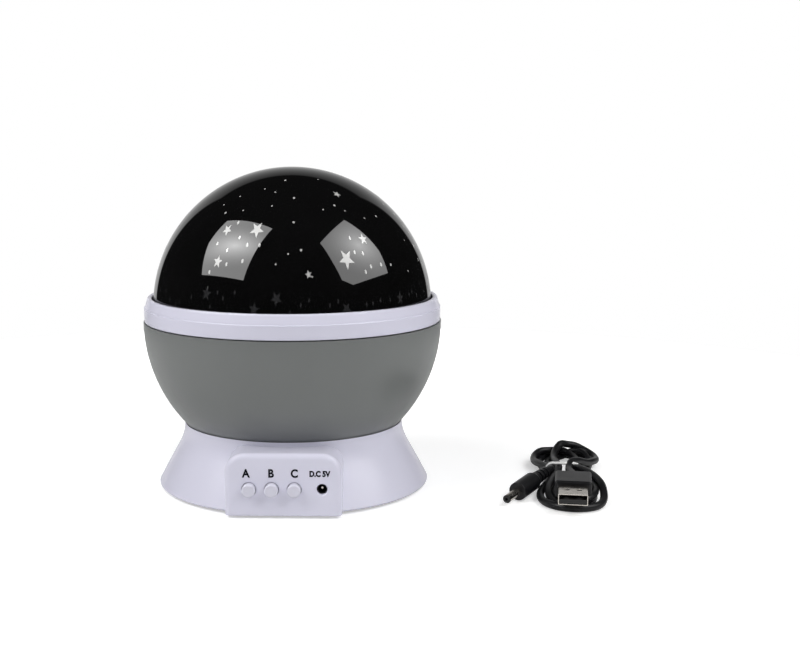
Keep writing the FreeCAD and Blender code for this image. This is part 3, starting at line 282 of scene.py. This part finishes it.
def two_tone(nodes, links, value, dark, light, from_low=0.3, from_high=0.7):
    """Maps a value's range, by default that of the noise, onto two colours."""
    ramp = nodes.new("ShaderNodeValToRGB")
    ramp.color_ramp.elements[0].position = from_low
    ramp.color_ramp.elements[0].color = (*dark, 1)
    ramp.color_ramp.elements[1].position = from_high
    ramp.color_ramp.elements[1].color = (*light, 1)
    links.new(value, ramp.inputs["Fac"])
    return ramp.outputs["Color"]


def bumped(nodes, links, value, distance, strength=0.5):
    bump = nodes.new("ShaderNodeBump")
    bump.inputs["Distance"].default_value = distance
    bump.inputs["Strength"].default_value = strength
    links.new(value, bump.inputs["Height"])
    return bump.outputs["Normal"]


def moulded(name, colour, rough, shade, ior=1.47, ripple_depth=0.000001):
    """Moulded plastic: cloudy tone, uneven gloss and a very fine ripple."""
    material, nodes, links, body = shader(name)
    tone = grain(nodes, links, CLOUDS)
    dark = [c * (1 - shade) for c in colour]
    light = [min(1.0, c * (1 + shade)) for c in colour]
    links.new(two_tone(nodes, links, tone, dark, light), body.inputs["Base Color"])
    gloss = grain(nodes, links, UNEVEN_GLOSS, 4.0)
    links.new(spread(nodes, links, gloss, rough * 0.94, rough * 1.06), body.inputs["Roughness"])
    if ripple_depth:
        ripple = grain(nodes, links, RIPPLE, 2.0)
        links.new(bumped(nodes, links, ripple, ripple_depth), body.inputs["Normal"])
    body.inputs["IOR"].default_value = ior
    return material


def plated(name, colour, rough):
    """Metal with fine marks and duller spots."""
    material, nodes, links, body = shader(name)
    body.inputs["Metallic"].default_value = 1.0
    marks = grain(nodes, links, METAL_MARKS)
    dark = [c * 0.86 for c in colour]
    links.new(two_tone(nodes, links, marks, dark, colour), body.inputs["Base Color"])
    spots = grain(nodes, links, DULL_SPOTS, 4.0)
    links.new(spread(nodes, links, spots, rough * 0.7, rough * 1.5), body.inputs["Roughness"])
    links.new(bumped(nodes, links, marks, 0.00001, 0.4), body.inputs["Normal"])
    return material


WIRE_WOBBLE = 0.0004  # metres by which the border of the two colours wanders
WIRE_BORDER = 0.001   # metres from the middle to where a wire has its own colour in full


def wires(name, dark, light):
    """Insulated wires: one colour left of the middle and another one right of it."""
    material, nodes, links, body = shader(name)
    place = nodes.new("ShaderNodeTexCoord")
    parts = nodes.new("ShaderNodeSeparateXYZ")
    links.new(place.outputs["Object"], parts.inputs["Vector"])
    wobble = nodes.new("ShaderNodeMath")
    wobble.operation = "MULTIPLY_ADD"
    wobble.inputs[1].default_value = WIRE_WOBBLE
    links.new(grain(nodes, links, WIRE_NOISE), wobble.inputs[0])
    links.new(parts.outputs["X"], wobble.inputs[2])
    side = spread(nodes, links, wobble.outputs[0], 0, 1, -WIRE_BORDER, WIRE_BORDER)
    links.new(two_tone(nodes, links, side, dark, light, 0.4, 0.6), body.inputs["Base Color"])
    body.inputs["Roughness"].default_value = 0.4
    return material


def board_green(name):
    """Green circuit board with a faint pattern of tracks."""
    material, nodes, links, body = shader(name)
    place = nodes.new("ShaderNodeTexCoord")
    tracks = nodes.new("ShaderNodeTexBrick")
    tracks.inputs["Scale"].default_value = BOARD_TRACKS
    tracks.inputs["Mortar Size"].default_value = 0.03
    tracks.inputs["Color1"].default_value = (0.012, 0.10, 0.035, 1)
    tracks.inputs["Color2"].default_value = (0.016, 0.13, 0.045, 1)
    tracks.inputs["Mortar"].default_value = (0.03, 0.22, 0.08, 1)
    links.new(place.outputs["Object"], tracks.inputs["Vector"])
    links.new(tracks.outputs["Color"], body.inputs["Base Color"])
    rough = grain(nodes, links, BOARD_NOISE)
    links.new(spread(nodes, links, rough, 0.28, 0.42), body.inputs["Roughness"])
    return material


def lamp_glass(name, colour):
    """Clear or tinted resin of a lamp."""
    material, nodes, links, body = shader(name)
    cloud = grain(nodes, links, LAMP_CLOUDS)
    dark = [c * 0.85 for c in colour]
    links.new(two_tone(nodes, links, cloud, dark, colour), body.inputs["Base Color"])
    body.inputs["Roughness"].default_value = 0.08
    body.inputs["IOR"].default_value = 1.5
    body.inputs["Transmission Weight"].default_value = 0.55
    return material


WHITE = (0.645, 0.638, 0.748)
BOWL = (0.159, 0.167, 0.164)

MATERIALS = {
    "white_plastic": moulded("white_plastic", WHITE, 0.24, 0.008),
    "button_plastic": moulded("button_plastic", (0.60, 0.593, 0.68), 0.22, 0.008),
    "grey_plastic": moulded("grey_plastic", BOWL, 0.33, 0.02),
    "dome_plastic": moulded("dome_plastic", (0.0025, 0.0025, 0.0026), 0.03, 0.2, 1.64, 0.0),
    "film": moulded("film", (0.006, 0.006, 0.006), 0.4, 0.2),
    "rubber": moulded("rubber", (0.03, 0.03, 0.031), 0.75, 0.15),
    "steel": plated("steel", (0.56, 0.56, 0.57), 0.3),
    "nickel": plated("nickel", (0.74, 0.70, 0.64), 0.2),
    "brass": plated("brass", (0.72, 0.56, 0.30), 0.3),
    "circuit_board": board_green("circuit_board"),
    "black_parts": moulded("black_parts", (0.012, 0.012, 0.012), 0.45, 0.2),
    "socket_plastic": moulded("socket_plastic", (0.008, 0.008, 0.008), 0.3, 0.2),
    "gear_plastic": moulded("gear_plastic", (0.72, 0.71, 0.66), 0.42, 0.03),
    "washer_plastic": moulded("washer_plastic", (0.6, 0.6, 0.58), 0.35, 0.04),
    "led_clear": lamp_glass("led_clear", (0.95, 0.93, 0.82)),
    "led_red": lamp_glass("led_red", (0.8, 0.05, 0.04)),
    "led_green": lamp_glass("led_green", (0.05, 0.7, 0.15)),
    "led_blue": lamp_glass("led_blue", (0.05, 0.15, 0.8)),
    "wire": wires("wire", (0.012, 0.012, 0.012), (0.45, 0.02, 0.015)),
    "lead_plastic": moulded("lead_plastic", (0.007, 0.007, 0.008), 0.38, 0.15, 1.38),
    "tie_plastic": moulded("tie_plastic", (0.80, 0.80, 0.79), 0.5, 0.04),
}

for part in frame["record"]["subparts"]:
    node = frame["nodes"][part["node"]]
    finish = MATERIALS[part["material_slot"]]
    for slot in node.material_slots:
        slot.material = finish


# --- Pieces -------------------------------------------------------------------------------------
def mesh_piece(name, points, faces, material, body):
    """A smooth mesh of the scene's own that rides on a body."""
    data = bpy.data.meshes.new(name)
    data.from_pydata([tuple(p) for p in points], [], faces)
    data.validate()
    data.materials.append(material)
    for polygon in data.polygons:
        polygon.use_smooth = True
    piece = bpy.data.objects.new(name, data)
    bpy.context.scene.collection.objects.link(piece)
    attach(piece, body)
    return piece


# The dome shell is an even turned surface, so that the soft boxes' reflections stay clean.
DOME_STEPS = 192      # round the axis
ARC_STEPS = 60        # from the flange to the top
ON_AXIS = 1e-6


def turned_mesh(profile, steps):
    """Closed turned mesh about Z from a closed (radius, height) outline in millimetres."""
    points = []
    faces = []
    rows = len(profile)
    index_of = []
    for radius, height in profile:
        if radius < ON_AXIS:
            points.append((0, 0, height * MM))
            index_of.append([len(points) - 1] * steps)
            continue
        ring = []
        for step in range(steps):
            angle = 2 * math.pi * step / steps
            points.append((radius * math.cos(angle) * MM, radius * math.sin(angle) * MM,
                           height * MM))
            ring.append(len(points) - 1)
        index_of.append(ring)
    for row in range(rows):
        low, high = index_of[row], index_of[(row + 1) % rows]
        for step in range(steps):
            after = (step + 1) % steps
            face = [low[step], low[after], high[after], high[step]]
            face = [v for k, v in enumerate(face) if v not in face[:k]]
            if len(face) > 2:
                faces.append(face)
    return points, faces


def dome_profile():
    """Outline of the shell: the flange, the outside up to the top, and the inside down again."""
    outer, inner = DOME_RADIUS, DOME_RADIUS - DOME_WALL
    profile = [(inner, DOME_FOOT), (FLANGE_RADIUS, DOME_FOOT), (FLANGE_RADIUS, FLANGE_TOP)]
    first = math.asin((FLANGE_TOP - DOME_CENTRE) / outer)
    for step in range(ARC_STEPS + 1):
        angle = first + (math.pi / 2 - first) * step / ARC_STEPS
        profile.append((outer * math.cos(angle), DOME_CENTRE + outer * math.sin(angle)))
    for step in range(ARC_STEPS, -1, -1):
        angle = math.radians(90 * step / ARC_STEPS)
        profile.append((inner * math.cos(angle), DOME_CENTRE + inner * math.sin(angle)))
    return profile


points, faces = turned_mesh(dome_profile(), DOME_STEPS)
dome = mesh_piece("dome", points, faces, MATERIALS["dome_plastic"], "cover")
dome.data.set_sharp_from_angle(angle=math.radians(40))
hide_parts("dome_shell")


# Stars and dots: clear places in the black print, drawn as shinier patches with painted light and
# shade, that lie just over the dome's surface.
WINDOW_RADIUS = DOME_RADIUS + 0.035
# Each star: azimuth from the buttons to the right, elevation, size and turn; sizes in
# millimetres, angles in degrees. Each dot: azimuth and elevation.
LARGE_STARS = [(-12.6, 37.4, 4.0, 174), (27.3, 24.7, 4.6, 184)]
SMALL_STARS = [
    (-28.2, 36.9, 2.9, 172), (-28.0, 23.5, 2.9, 4), (38.1, 32.5, 2.8, 2), (36.8, 55.6, 2.3, 40),
    (-30.9, 11.1, 3.2, 6), (-1.9, 10.2, 3.2, 186), (51.0, 7.9, 3.0, 4), (24.9, 5.7, 3.0, 178),
    (-10.4, 6.1, 3.0, 10), (10.6, 19.2, 1.9, 60),
]
SOFT_BOX_DOTS = [
    (-23.6, 40.4), (-20.3, 33.8), (-30.9, 30.8), (-15.7, 30.8), (-10.1, 30.8), (-24.7, 28.3),
    (-16.6, 24.2), (-23.6, 22.7), (-31.1, 19.3), (31.3, 33.3), (31.7, 27.3), (35.7, 26.7),
    (38.1, 21.2), (43.6, 21.7), (35.0, 19.3),
]
SMALL_DOTS = [
    (5.6, 53.7), (-7.7, 57.4), (-16.9, 59.5), (-2.2, 66.5), (-32.4, 54.2), (-40.4, 49.0),
    (-34.7, 44.9), (-23.9, 46.5), (-7.4, 49.1), (5.0, 40.9), (31.6, 67.0), (22.0, 47.0),
    (29.9, 49.1), (34.9, 46.0), (45.1, 41.9), (55.0, 42.4), (67.6, 30.2), (2.5, 27.3),
    (8.0, 28.8), (-2.5, 23.2), (12.0, 18.3), (49.2, 21.2), (60.0, 17.8),
]
STAR_SQUEEZE = 0.75
STAR_INNER = 0.42     # the inner corners' reach as a share of the points'
STAR_ROOM = 0.9       # degrees that a star takes for each millimetre of its size
# Half the width and height of the dots.
SOFT_BOX_DOT = (0.46, 0.95)
LOW_DOT = (0.4, 0.95)
SMALL_DOT_WIDTH = 0.34
LARGER_DOT_WIDTH = 0.48
ROUND_DOT = 1.15      # height as a share of the width
TALL_DOT = 2.0
# The stars and dots that the photograph doesn't show stand at random. Azimuths in degrees; the
# heights are sines of the elevation, so that they spread evenly over the dome. The gaps are to
# what is placed already, in degrees.
BACK_SEED = 11
BACK_STARS = 34
BACK_STAR_AZIMUTHS = (80, 280)
BACK_STAR_HEIGHTS = (0.07, 0.97)
BACK_STAR_SIZES = (2.8, 2.9, 3.1, 4.4)
BACK_STAR_GAP = 5
BACK_DOTS = 190
BACK_DOT_AZIMUTHS = (74, 286)
BACK_DOT_HEIGHTS = (0.16, 0.99)
BACK_DOT_GAP = 2.6
TALL_DOTS_BELOW = 40  # degrees of elevation
LOW_DOTS = 96         # places all round for the dots just over the ring
LOW_DOT_ELEVATIONS = (3.6, 12.5)
LOW_DOT_GAP = 1.6


def on_dome(azimuth, elevation, radius):
    """The place on a sphere round the origin; azimuth counts from the front to the right."""
    a, e = math.radians(azimuth), math.radians(elevation)
    flat = radius * math.cos(e)
    return Vector((flat * math.sin(a), -flat * math.cos(a), radius * math.sin(e)))


def star_shape(size, turn):
    """Outline of a five-pointed star, a little narrower than it is high, in millimetres."""
    shape = []
    for index in range(10):
        reach = size if index % 2 == 0 else size * STAR_INNER
        angle = math.radians(turn + 36 * index)
        shape.append((STAR_SQUEEZE * reach * math.sin(angle), reach * math.cos(angle)))
    return shape


def dot_shape(width, height):
    """Outline of an upright oval dot, half its width and height given in millimetres."""
    return [(width * math.sin(math.radians(36 * i)), height * math.cos(math.radians(36 * i)))
            for i in range(10)]


def window(azimuth, elevation, shape, points, faces):
    """Adds one flat shape, bent onto the dome, as rings of vertices round its middle."""
    middle = on_dome(azimuth, elevation, WINDOW_RADIUS).normalized()
    east = Vector((0, 0, 1)).cross(middle).normalized()
    north = middle.cross(east)
    start = len(points)
    spots = [(0, 0)]
    for share in (0.5, 1.0):
        spots += [(x * share, y * share) for x, y in shape]
    for x, y in spots:
        spot = (middle * WINDOW_RADIUS + east * x + north * y).normalized() * WINDOW_RADIUS
        points.append((spot.x * MM, spot.y * MM, (spot.z + DOME_CENTRE) * MM))
    count = len(shape)
    inner, outer = start + 1, start + 1 + count
    for index in range(count):
        after = (index + 1) % count
        faces.append((start, inner + after, inner + index))
        faces.append((inner + index, inner + after, outer + after, outer + index))


def clear_of(azimuth, elevation, placed, gap):
    """Whether a place is at least a gap in degrees away from all that is placed already."""
    here = on_dome(azimuth, elevation, 1.0)
    return all(here.angle(on_dome(a, e, 1.0)) > math.radians(gap + r) for a, e, r in placed)


def star_windows():
    """All stars and dots as one mesh; each is kept with the room it takes, in degrees."""
    points, faces, placed = [], [], []
    for azimuth, elevation, size, turn in LARGE_STARS + SMALL_STARS:
        window(azimuth, elevation, star_shape(size, turn), points, faces)
        placed.append((azimuth, elevation, size * STAR_ROOM))
    for azimuth, elevation in SOFT_BOX_DOTS:
        window(azimuth, elevation, dot_shape(*SOFT_BOX_DOT), points, faces)
        placed.append((azimuth, elevation, 0.8))
    for index, (azimuth, elevation) in enumerate(SMALL_DOTS):
        width = SMALL_DOT_WIDTH if index % 3 else LARGER_DOT_WIDTH
        window(azimuth, elevation, dot_shape(width, width * ROUND_DOT), points, faces)
        placed.append((azimuth, elevation, 0.8))
    dice = random.Random(BACK_SEED)
    stars = 0
    while stars < BACK_STARS:
        azimuth = dice.uniform(*BACK_STAR_AZIMUTHS)
        elevation = math.degrees(math.asin(dice.uniform(*BACK_STAR_HEIGHTS)))
        size = dice.choice(BACK_STAR_SIZES)
        if clear_of(azimuth, elevation, placed, size + BACK_STAR_GAP):
            window(azimuth, elevation, star_shape(size, dice.uniform(0, 72)), points, faces)
            placed.append((azimuth, elevation, size * STAR_ROOM))
            stars += 1
    dots = 0
    while dots < BACK_DOTS:
        azimuth = dice.uniform(*BACK_DOT_AZIMUTHS)
        elevation = math.degrees(math.asin(dice.uniform(*BACK_DOT_HEIGHTS)))
        if clear_of(azimuth, elevation, placed, BACK_DOT_GAP):
            width = 0.4 + dice.uniform(0, 0.14)
            tall = TALL_DOT if elevation < TALL_DOTS_BELOW else ROUND_DOT
            window(azimuth, elevation, dot_shape(width, width * tall), points, faces)
            placed.append((azimuth, elevation, 0.6))
            dots += 1
    for index in range(LOW_DOTS):
        azimuth = -180 + index * 360 / LOW_DOTS + dice.uniform(-1.2, 1.2)
        elevation = dice.uniform(*LOW_DOT_ELEVATIONS)
        if clear_of(azimuth, elevation, placed, LOW_DOT_GAP):
            window(azimuth, elevation, dot_shape(*LOW_DOT), points, faces)
            placed.append((azimuth, elevation, 0.5))
    return points, faces


PAINTED_SHADE_TOP = 0.0945    # metres over the table up to which the windows get painted shade
PAINTED_LIGHT_FROM = 0.099     # and from which they get painted light
PAINTED_LIGHT_WANDER = 0.004   # metres by which the two heights wander


def window_painted_light():
    """Clear film with painted light and shade: pale high on the dome, nearly as dark as the inside
    low.
    """
    material, nodes, links, body = shader("dome_windows")
    place = nodes.new("ShaderNodeTexCoord")
    parts = nodes.new("ShaderNodeSeparateXYZ")
    links.new(place.outputs["Object"], parts.inputs["Vector"])
    cloud = nodes.new("ShaderNodeMath")
    cloud.operation = "MULTIPLY_ADD"
    cloud.inputs[1].default_value = PAINTED_LIGHT_WANDER
    links.new(grain(nodes, links, PAINTED_LIGHT_CLOUDS, 1.0), cloud.inputs[0])
    links.new(parts.outputs["Z"], cloud.inputs[2])
    # painted shade low on the dome and painted light high on it, blended between the two heights
    height = spread(nodes, links, cloud.outputs[0], 0.0, 1.0, PAINTED_SHADE_TOP, PAINTED_LIGHT_FROM)
    ramp = two_tone(nodes, links, height, (0.022, 0.022, 0.023), (0.42, 0.42, 0.41), 0.0, 1.0)
    links.new(ramp, body.inputs["Base Color"])
    body.inputs["Roughness"].default_value = 0.1
    body.inputs["IOR"].default_value = 1.85
    return material


points, faces = star_windows()
windows = mesh_piece("dome_windows", points, faces, window_painted_light(), "cover")
dome_middle = Vector((0, 0, DOME_CENTRE * MM))
windows.data.normals_split_custom_set_from_vertices(
    [(v.co - dome_middle).normalized() for v in windows.data.vertices])


# --- Print on the panel -------------------------------------------------------------------------
PRINT = moulded("panel_print", (0.004, 0.004, 0.009), 0.5, 0.3, 1.2)
PRINT_THICK = 0.02
CAPITALS = 0.73       # height of the capitals as a share of the letters' size
PRINT_HEIGHT = 18.95  # of the row's middle over the table
SOCKET_WORDS = 14.8   # the middle of the words over the socket
WORDS_DROP = 0.15     # how much lower than the letters they stand
LETTER_WEIGHT = 0.19  # by which the strokes are widened
LETTER_ASIDE = (-1.1, -0.2, 0.1)      # how far each letter stands aside from its button


def lettering(name, text, middle_x, middle_z, height, squeeze):
    """Printed letters on the panel, middle and height in millimetres."""
    data = bpy.data.curves.new(name, "FONT")
    data.body = text
    data.size = height * MM / CAPITALS
    data.align_x = "CENTER"
    data.offset = LETTER_WEIGHT * MM
    data.extrude = PRINT_THICK * MM
    data.resolution_u = 6
    piece = bpy.data.objects.new(name, data)
    bpy.context.scene.collection.objects.link(piece)
    piece.matrix_world = (Matrix.Translation((middle_x * MM, (PANEL - PRINT_THICK) * MM,
                                              (middle_z - height / 2) * MM))
                          @ Matrix.Rotation(math.radians(90), 4, "X")
                          @ Matrix.Diagonal((squeeze, 1, 1, 1)))
    bpy.context.view_layer.update()
    mesh = bpy.data.meshes.new_from_object(piece)
    mesh.transform(piece.matrix_world)
    bpy.data.objects.remove(piece)
    mesh.materials.clear()
    mesh.materials.append(PRINT)
    solid = bpy.data.objects.new(name, mesh)
    bpy.context.scene.collection.objects.link(solid)
    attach(solid, "base")


for letter, x, aside in zip("ABC", BUTTON_ROW, LETTER_ASIDE):
    lettering("print_" + letter, letter, x + aside, PRINT_HEIGHT, height=3.4, squeeze=0.9)
lettering("print_socket", "D.C 5V", SOCKET_WORDS, PRINT_HEIGHT - WORDS_DROP,
          height=2.3, squeeze=0.86)


# --- Lead ---------------------------------------------------------------------------------------
cord.data.materials.append(MATERIALS["lead_plastic"])
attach(cord, "base")
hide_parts("cord_dc_tail", "cord_hank", "cord_usb_tail")


def tie_band():
    """Paper-covered tie wire round the strands, a flat band on a rounded rectangle."""
    half_width, low, high, bend = 7.35, 0.45, 8.2, 2.6
    thick, wide = 0.45, 1.1      # each half of the band's own thickness and width
    left, right = -half_width - 0.05, half_width + 0.1
    centres = [(right - bend, low + bend), (right - bend, high - bend),
               (left + bend, high - bend), (left + bend, low + bend)]
    path = []
    for corner, (u, z) in enumerate(centres):
        for step in range(7):
            angle = math.radians(-90 + 90 * corner + 15 * step)
            out = Vector((math.cos(angle), 0, math.sin(angle)))
            path.append((Vector((u, 0, z)) + out * bend, out))
    points, faces = [], []
    section = [(-thick, -wide), (thick * 0.6, -wide * 1.05), (thick, 0.0),
               (thick * 0.6, wide * 1.05), (-thick, wide)]
    for spot, out in path:
        slant = spot.x * 0.09 + 0.25 * math.sin(spot.z)      # it sits a little askew
        for depth, side in section:
            place = spot + out * depth
            points.append(lead_point((place.x, side + slant, place.z)))
    rows, count = len(path), len(section)
    for row in range(rows):
        here, ahead = row * count, (row + 1) % rows * count
        for k in range(count):
            after = (k + 1) % count
            faces.append((here + k, here + after, ahead + after, ahead + k))
    return points, faces


points, faces = tie_band()
tie = mesh_piece("lead_tie", points, faces, MATERIALS["tie_plastic"], "base")
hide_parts("cable_tie")


# --- Floor, light and background ----------------------------------------------------------------
FLOOR_RADIUS = 0.46
FLOOR_DROP = 0.0002   # below the feet, so that the two don't share a plane
FLOOR_GLOW = 0.43     # to the camera, near the lamp; at the rim it is 1, as the background
GLOW_FROM = 0.17      # metres from the lamp's axis where the floor begins to brighten
GLOW_TO = 0.42        # and where it is white
SOFT_BOX_DISTANCE = 0.75
LIGHT_TARGET = Vector((0, 0, 0.1))
FILL_PLACE = (34, 33, 0.8)      # azimuth, elevation and distance
FILL_SIZE = 0.5
FILL_POWER = 1.3
SHEET_MIDDLE = 0.094  # the white sheet's middle stands 5 degrees to the left
SHEET_SIDE = 1.615    # it ends 32 degrees to each side of that
SHEET_TOP = 1.21      # and 40 degrees up
SHEET_LEVEL = 0.78    # its glow at the bottom, fading upwards
SHEET_FADED = 0.15    # its glow from SHEET_FADE_TO upwards
SHEET_FADE_TO = 0.6   # sine of the elevation
SHEET_EDGE = 0.06     # softness of its edges
ROOM_LEVEL = 0.010    # the room round it, to gloss
FILL_LEVEL = 0.25     # the same for matt surfaces


def paper_floor():
    """Round sheet of white paper; to the camera its far part fades into the white background."""
    data = bpy.data.meshes.new("floor")
    rim = [(FLOOR_RADIUS * math.cos(math.radians(angle)),
            FLOOR_RADIUS * math.sin(math.radians(angle)), 0) for angle in range(0, 360, 5)]
    data.from_pydata(rim, [], [list(range(len(rim)))])
    floor = bpy.data.objects.new("floor", data)
    floor.location.z = -FLOOR_DROP
    bpy.context.scene.collection.objects.link(floor)
    material, nodes, links, body = shader("floor_paper")
    body.inputs["Roughness"].default_value = 0.9
    body.inputs["Specular IOR Level"].default_value = 0.0
    tone = grain(nodes, links, PAPER_CLOUDS)
    links.new(two_tone(nodes, links, tone, (0.80, 0.80, 0.80), (0.82, 0.82, 0.82)),
              body.inputs["Base Color"])
    place = nodes.new("ShaderNodeTexCoord")
    away = nodes.new("ShaderNodeVectorMath")
    away.operation = "LENGTH"
    links.new(place.outputs["Object"], away.inputs[0])
    fade = spread(nodes, links, away.outputs["Value"], FLOOR_GLOW, 1.0, GLOW_FROM, GLOW_TO)
    path = nodes.new("ShaderNodeLightPath")
    glow = nodes.new("ShaderNodeMath")
    glow.operation = "MULTIPLY"
    links.new(fade, glow.inputs[1])
    links.new(path.outputs["Is Camera Ray"], glow.inputs[0])
    body.inputs["Emission Color"].default_value = (1, 1, 1, 1)
    links.new(glow.outputs[0], body.inputs["Emission Strength"])
    data.materials.append(material)


def soft_box(name, azimuth, elevation, corners, strength, hot, spot, spot_size, spot_turn):
    """Glowing cloth panel that faces the lamp, brighter in one spot; its corners, the spot and the
    spot's size are in metres in the panel's own plane."""
    away = on_dome(azimuth, elevation, 1.0)
    east = Vector((0, 0, 1)).cross(away).normalized()
    north = away.cross(east)
    data = bpy.data.meshes.new(name)
    data.from_pydata([(x, y, 0) for x, y in corners], [], [list(range(len(corners)))])
    panel = bpy.data.objects.new(name, data)
    bpy.context.scene.collection.objects.link(panel)
    panel.visible_camera = False
    turn = Matrix((east, north, away)).transposed().to_4x4()
    panel.matrix_world = Matrix.Translation(LIGHT_TARGET + away * SOFT_BOX_DISTANCE) @ turn
    material, nodes, links, body = shader(name)
    place = nodes.new("ShaderNodeTexCoord")
    mapping = nodes.new("ShaderNodeMapping")
    mapping.vector_type = "TEXTURE"
    mapping.inputs["Location"].default_value = (*spot, 0)
    mapping.inputs["Rotation"].default_value = (0, 0, math.radians(spot_turn))
    mapping.inputs["Scale"].default_value = (*spot_size, 1)
    links.new(place.outputs["Object"], mapping.inputs["Vector"])
    round_spot = nodes.new("ShaderNodeTexGradient")
    round_spot.gradient_type = "QUADRATIC_SPHERE"
    links.new(mapping.outputs["Vector"], round_spot.inputs["Vector"])
    level = nodes.new("ShaderNodeMath")
    level.operation = "MULTIPLY_ADD"
    level.inputs[1].default_value = hot
    level.inputs[2].default_value = strength
    links.new(round_spot.outputs["Fac"], level.inputs[0])
    body.inputs["Base Color"].default_value = (0, 0, 0, 1)
    body.inputs["Emission Color"].default_value = (1, 1, 1, 1)
    links.new(level.outputs[0], body.inputs["Emission Strength"])
    data.materials.append(material)


def fill_light():
    """Soft light from the front right that the gloss of the lamp doesn't show."""
    data = bpy.data.lights.new("fill_light", "AREA")
    data.shape = "DISK"
    data.size = FILL_SIZE
    data.energy = FILL_POWER
    lamp = bpy.data.objects.new("fill_light", data)
    lamp.location = LIGHT_TARGET + on_dome(*FILL_PLACE)
    lamp.rotation_euler = (LIGHT_TARGET - lamp.location).to_track_quat("-Z", "Y").to_euler()
    lamp.visible_camera = False
    lamp.visible_glossy = False
    bpy.context.scene.collection.objects.link(lamp)


def worked_out(nodes, links, operation, first, second):
    """One step of arithmetic; each of the two is a socket or a number."""
    step = nodes.new("ShaderNodeMath")
    step.operation = operation
    for socket, value in zip(step.inputs, (first, second)):
        if isinstance(value, (int, float)):
            socket.default_value = value
        else:
            links.new(value, socket)
    return step.outputs[0]


def studio_world():
    """White to the camera, a pale fill for matt surfaces, and for gloss a white sheet behind the
    lamp in a dim room."""
    world = bpy.data.worlds.new("studio")
    bpy.context.scene.world = world
    world.use_nodes = True
    nodes, links = world.node_tree.nodes, world.node_tree.links
    back = nodes["Background"]
    place = nodes.new("ShaderNodeTexCoord")
    parts = nodes.new("ShaderNodeSeparateXYZ")
    links.new(place.outputs["Generated"], parts.inputs["Vector"])
    sideways = worked_out(nodes, links, "MULTIPLY", parts.outputs["Y"], SHEET_MIDDLE)
    sideways = worked_out(nodes, links, "ADD", parts.outputs["X"], sideways)
    sideways = worked_out(nodes, links, "ABSOLUTE", sideways, 0.0)
    sideways = worked_out(nodes, links, "MULTIPLY", sideways, SHEET_SIDE)
    height = worked_out(nodes, links, "ABSOLUTE", parts.outputs["Z"], 0.0)
    upwards = worked_out(nodes, links, "MULTIPLY", height, SHEET_TOP)
    inside = worked_out(nodes, links, "MAXIMUM", sideways, upwards)
    inside = worked_out(nodes, links, "SUBTRACT", parts.outputs["Y"], inside)
    sheet = spread(nodes, links, inside, 0.0, 1.0, 0.0, SHEET_EDGE)
    fade = spread(nodes, links, height, SHEET_LEVEL, SHEET_FADED, 0.0, SHEET_FADE_TO)
    sheet = worked_out(nodes, links, "MULTIPLY", sheet, fade)
    sheet = worked_out(nodes, links, "MAXIMUM", sheet, ROOM_LEVEL)
    path = nodes.new("ShaderNodeLightPath")
    shiny = nodes.new("ShaderNodeMix")
    shiny.data_type = "FLOAT"
    shiny.inputs[2].default_value = FILL_LEVEL
    links.new(path.outputs["Is Glossy Ray"], shiny.inputs[0])
    links.new(sheet, shiny.inputs[3])
    seen = worked_out(nodes, links, "MAXIMUM", path.outputs["Is Camera Ray"],
                      path.outputs["Is Transmission Ray"])
    links.new(worked_out(nodes, links, "MAXIMUM", seen, shiny.outputs[0]), back.inputs["Strength"])
    back.inputs["Color"].default_value = (1, 1, 1, 1)


paper_floor()
soft_box("soft_box_left", azimuth=-61, elevation=44.5,
         corners=[(-0.335, 0.17), (-0.335, -0.065), (-0.24, -0.35), (0.315, -0.27),
                  (0.165, 0.35)],
         strength=3.4, hot=6.5, spot=(0.0, 0.0), spot_size=(0.57, 0.24), spot_turn=20)
soft_box("soft_box_right", azimuth=71, elevation=41,
         corners=[(0.19, 0.27), (-0.265, 0.23), (-0.31, -0.015), (-0.33, -0.22),
                  (-0.225, -0.31), (0.30, -0.305), (0.295, -0.10)],
         strength=2.5, hot=4.5, spot=(0.077, 0.01), spot_size=(0.44, 0.33), spot_turn=-24)
fill_light()
studio_world()
bpy.context.scene.view_settings.view_transform = "Standard"
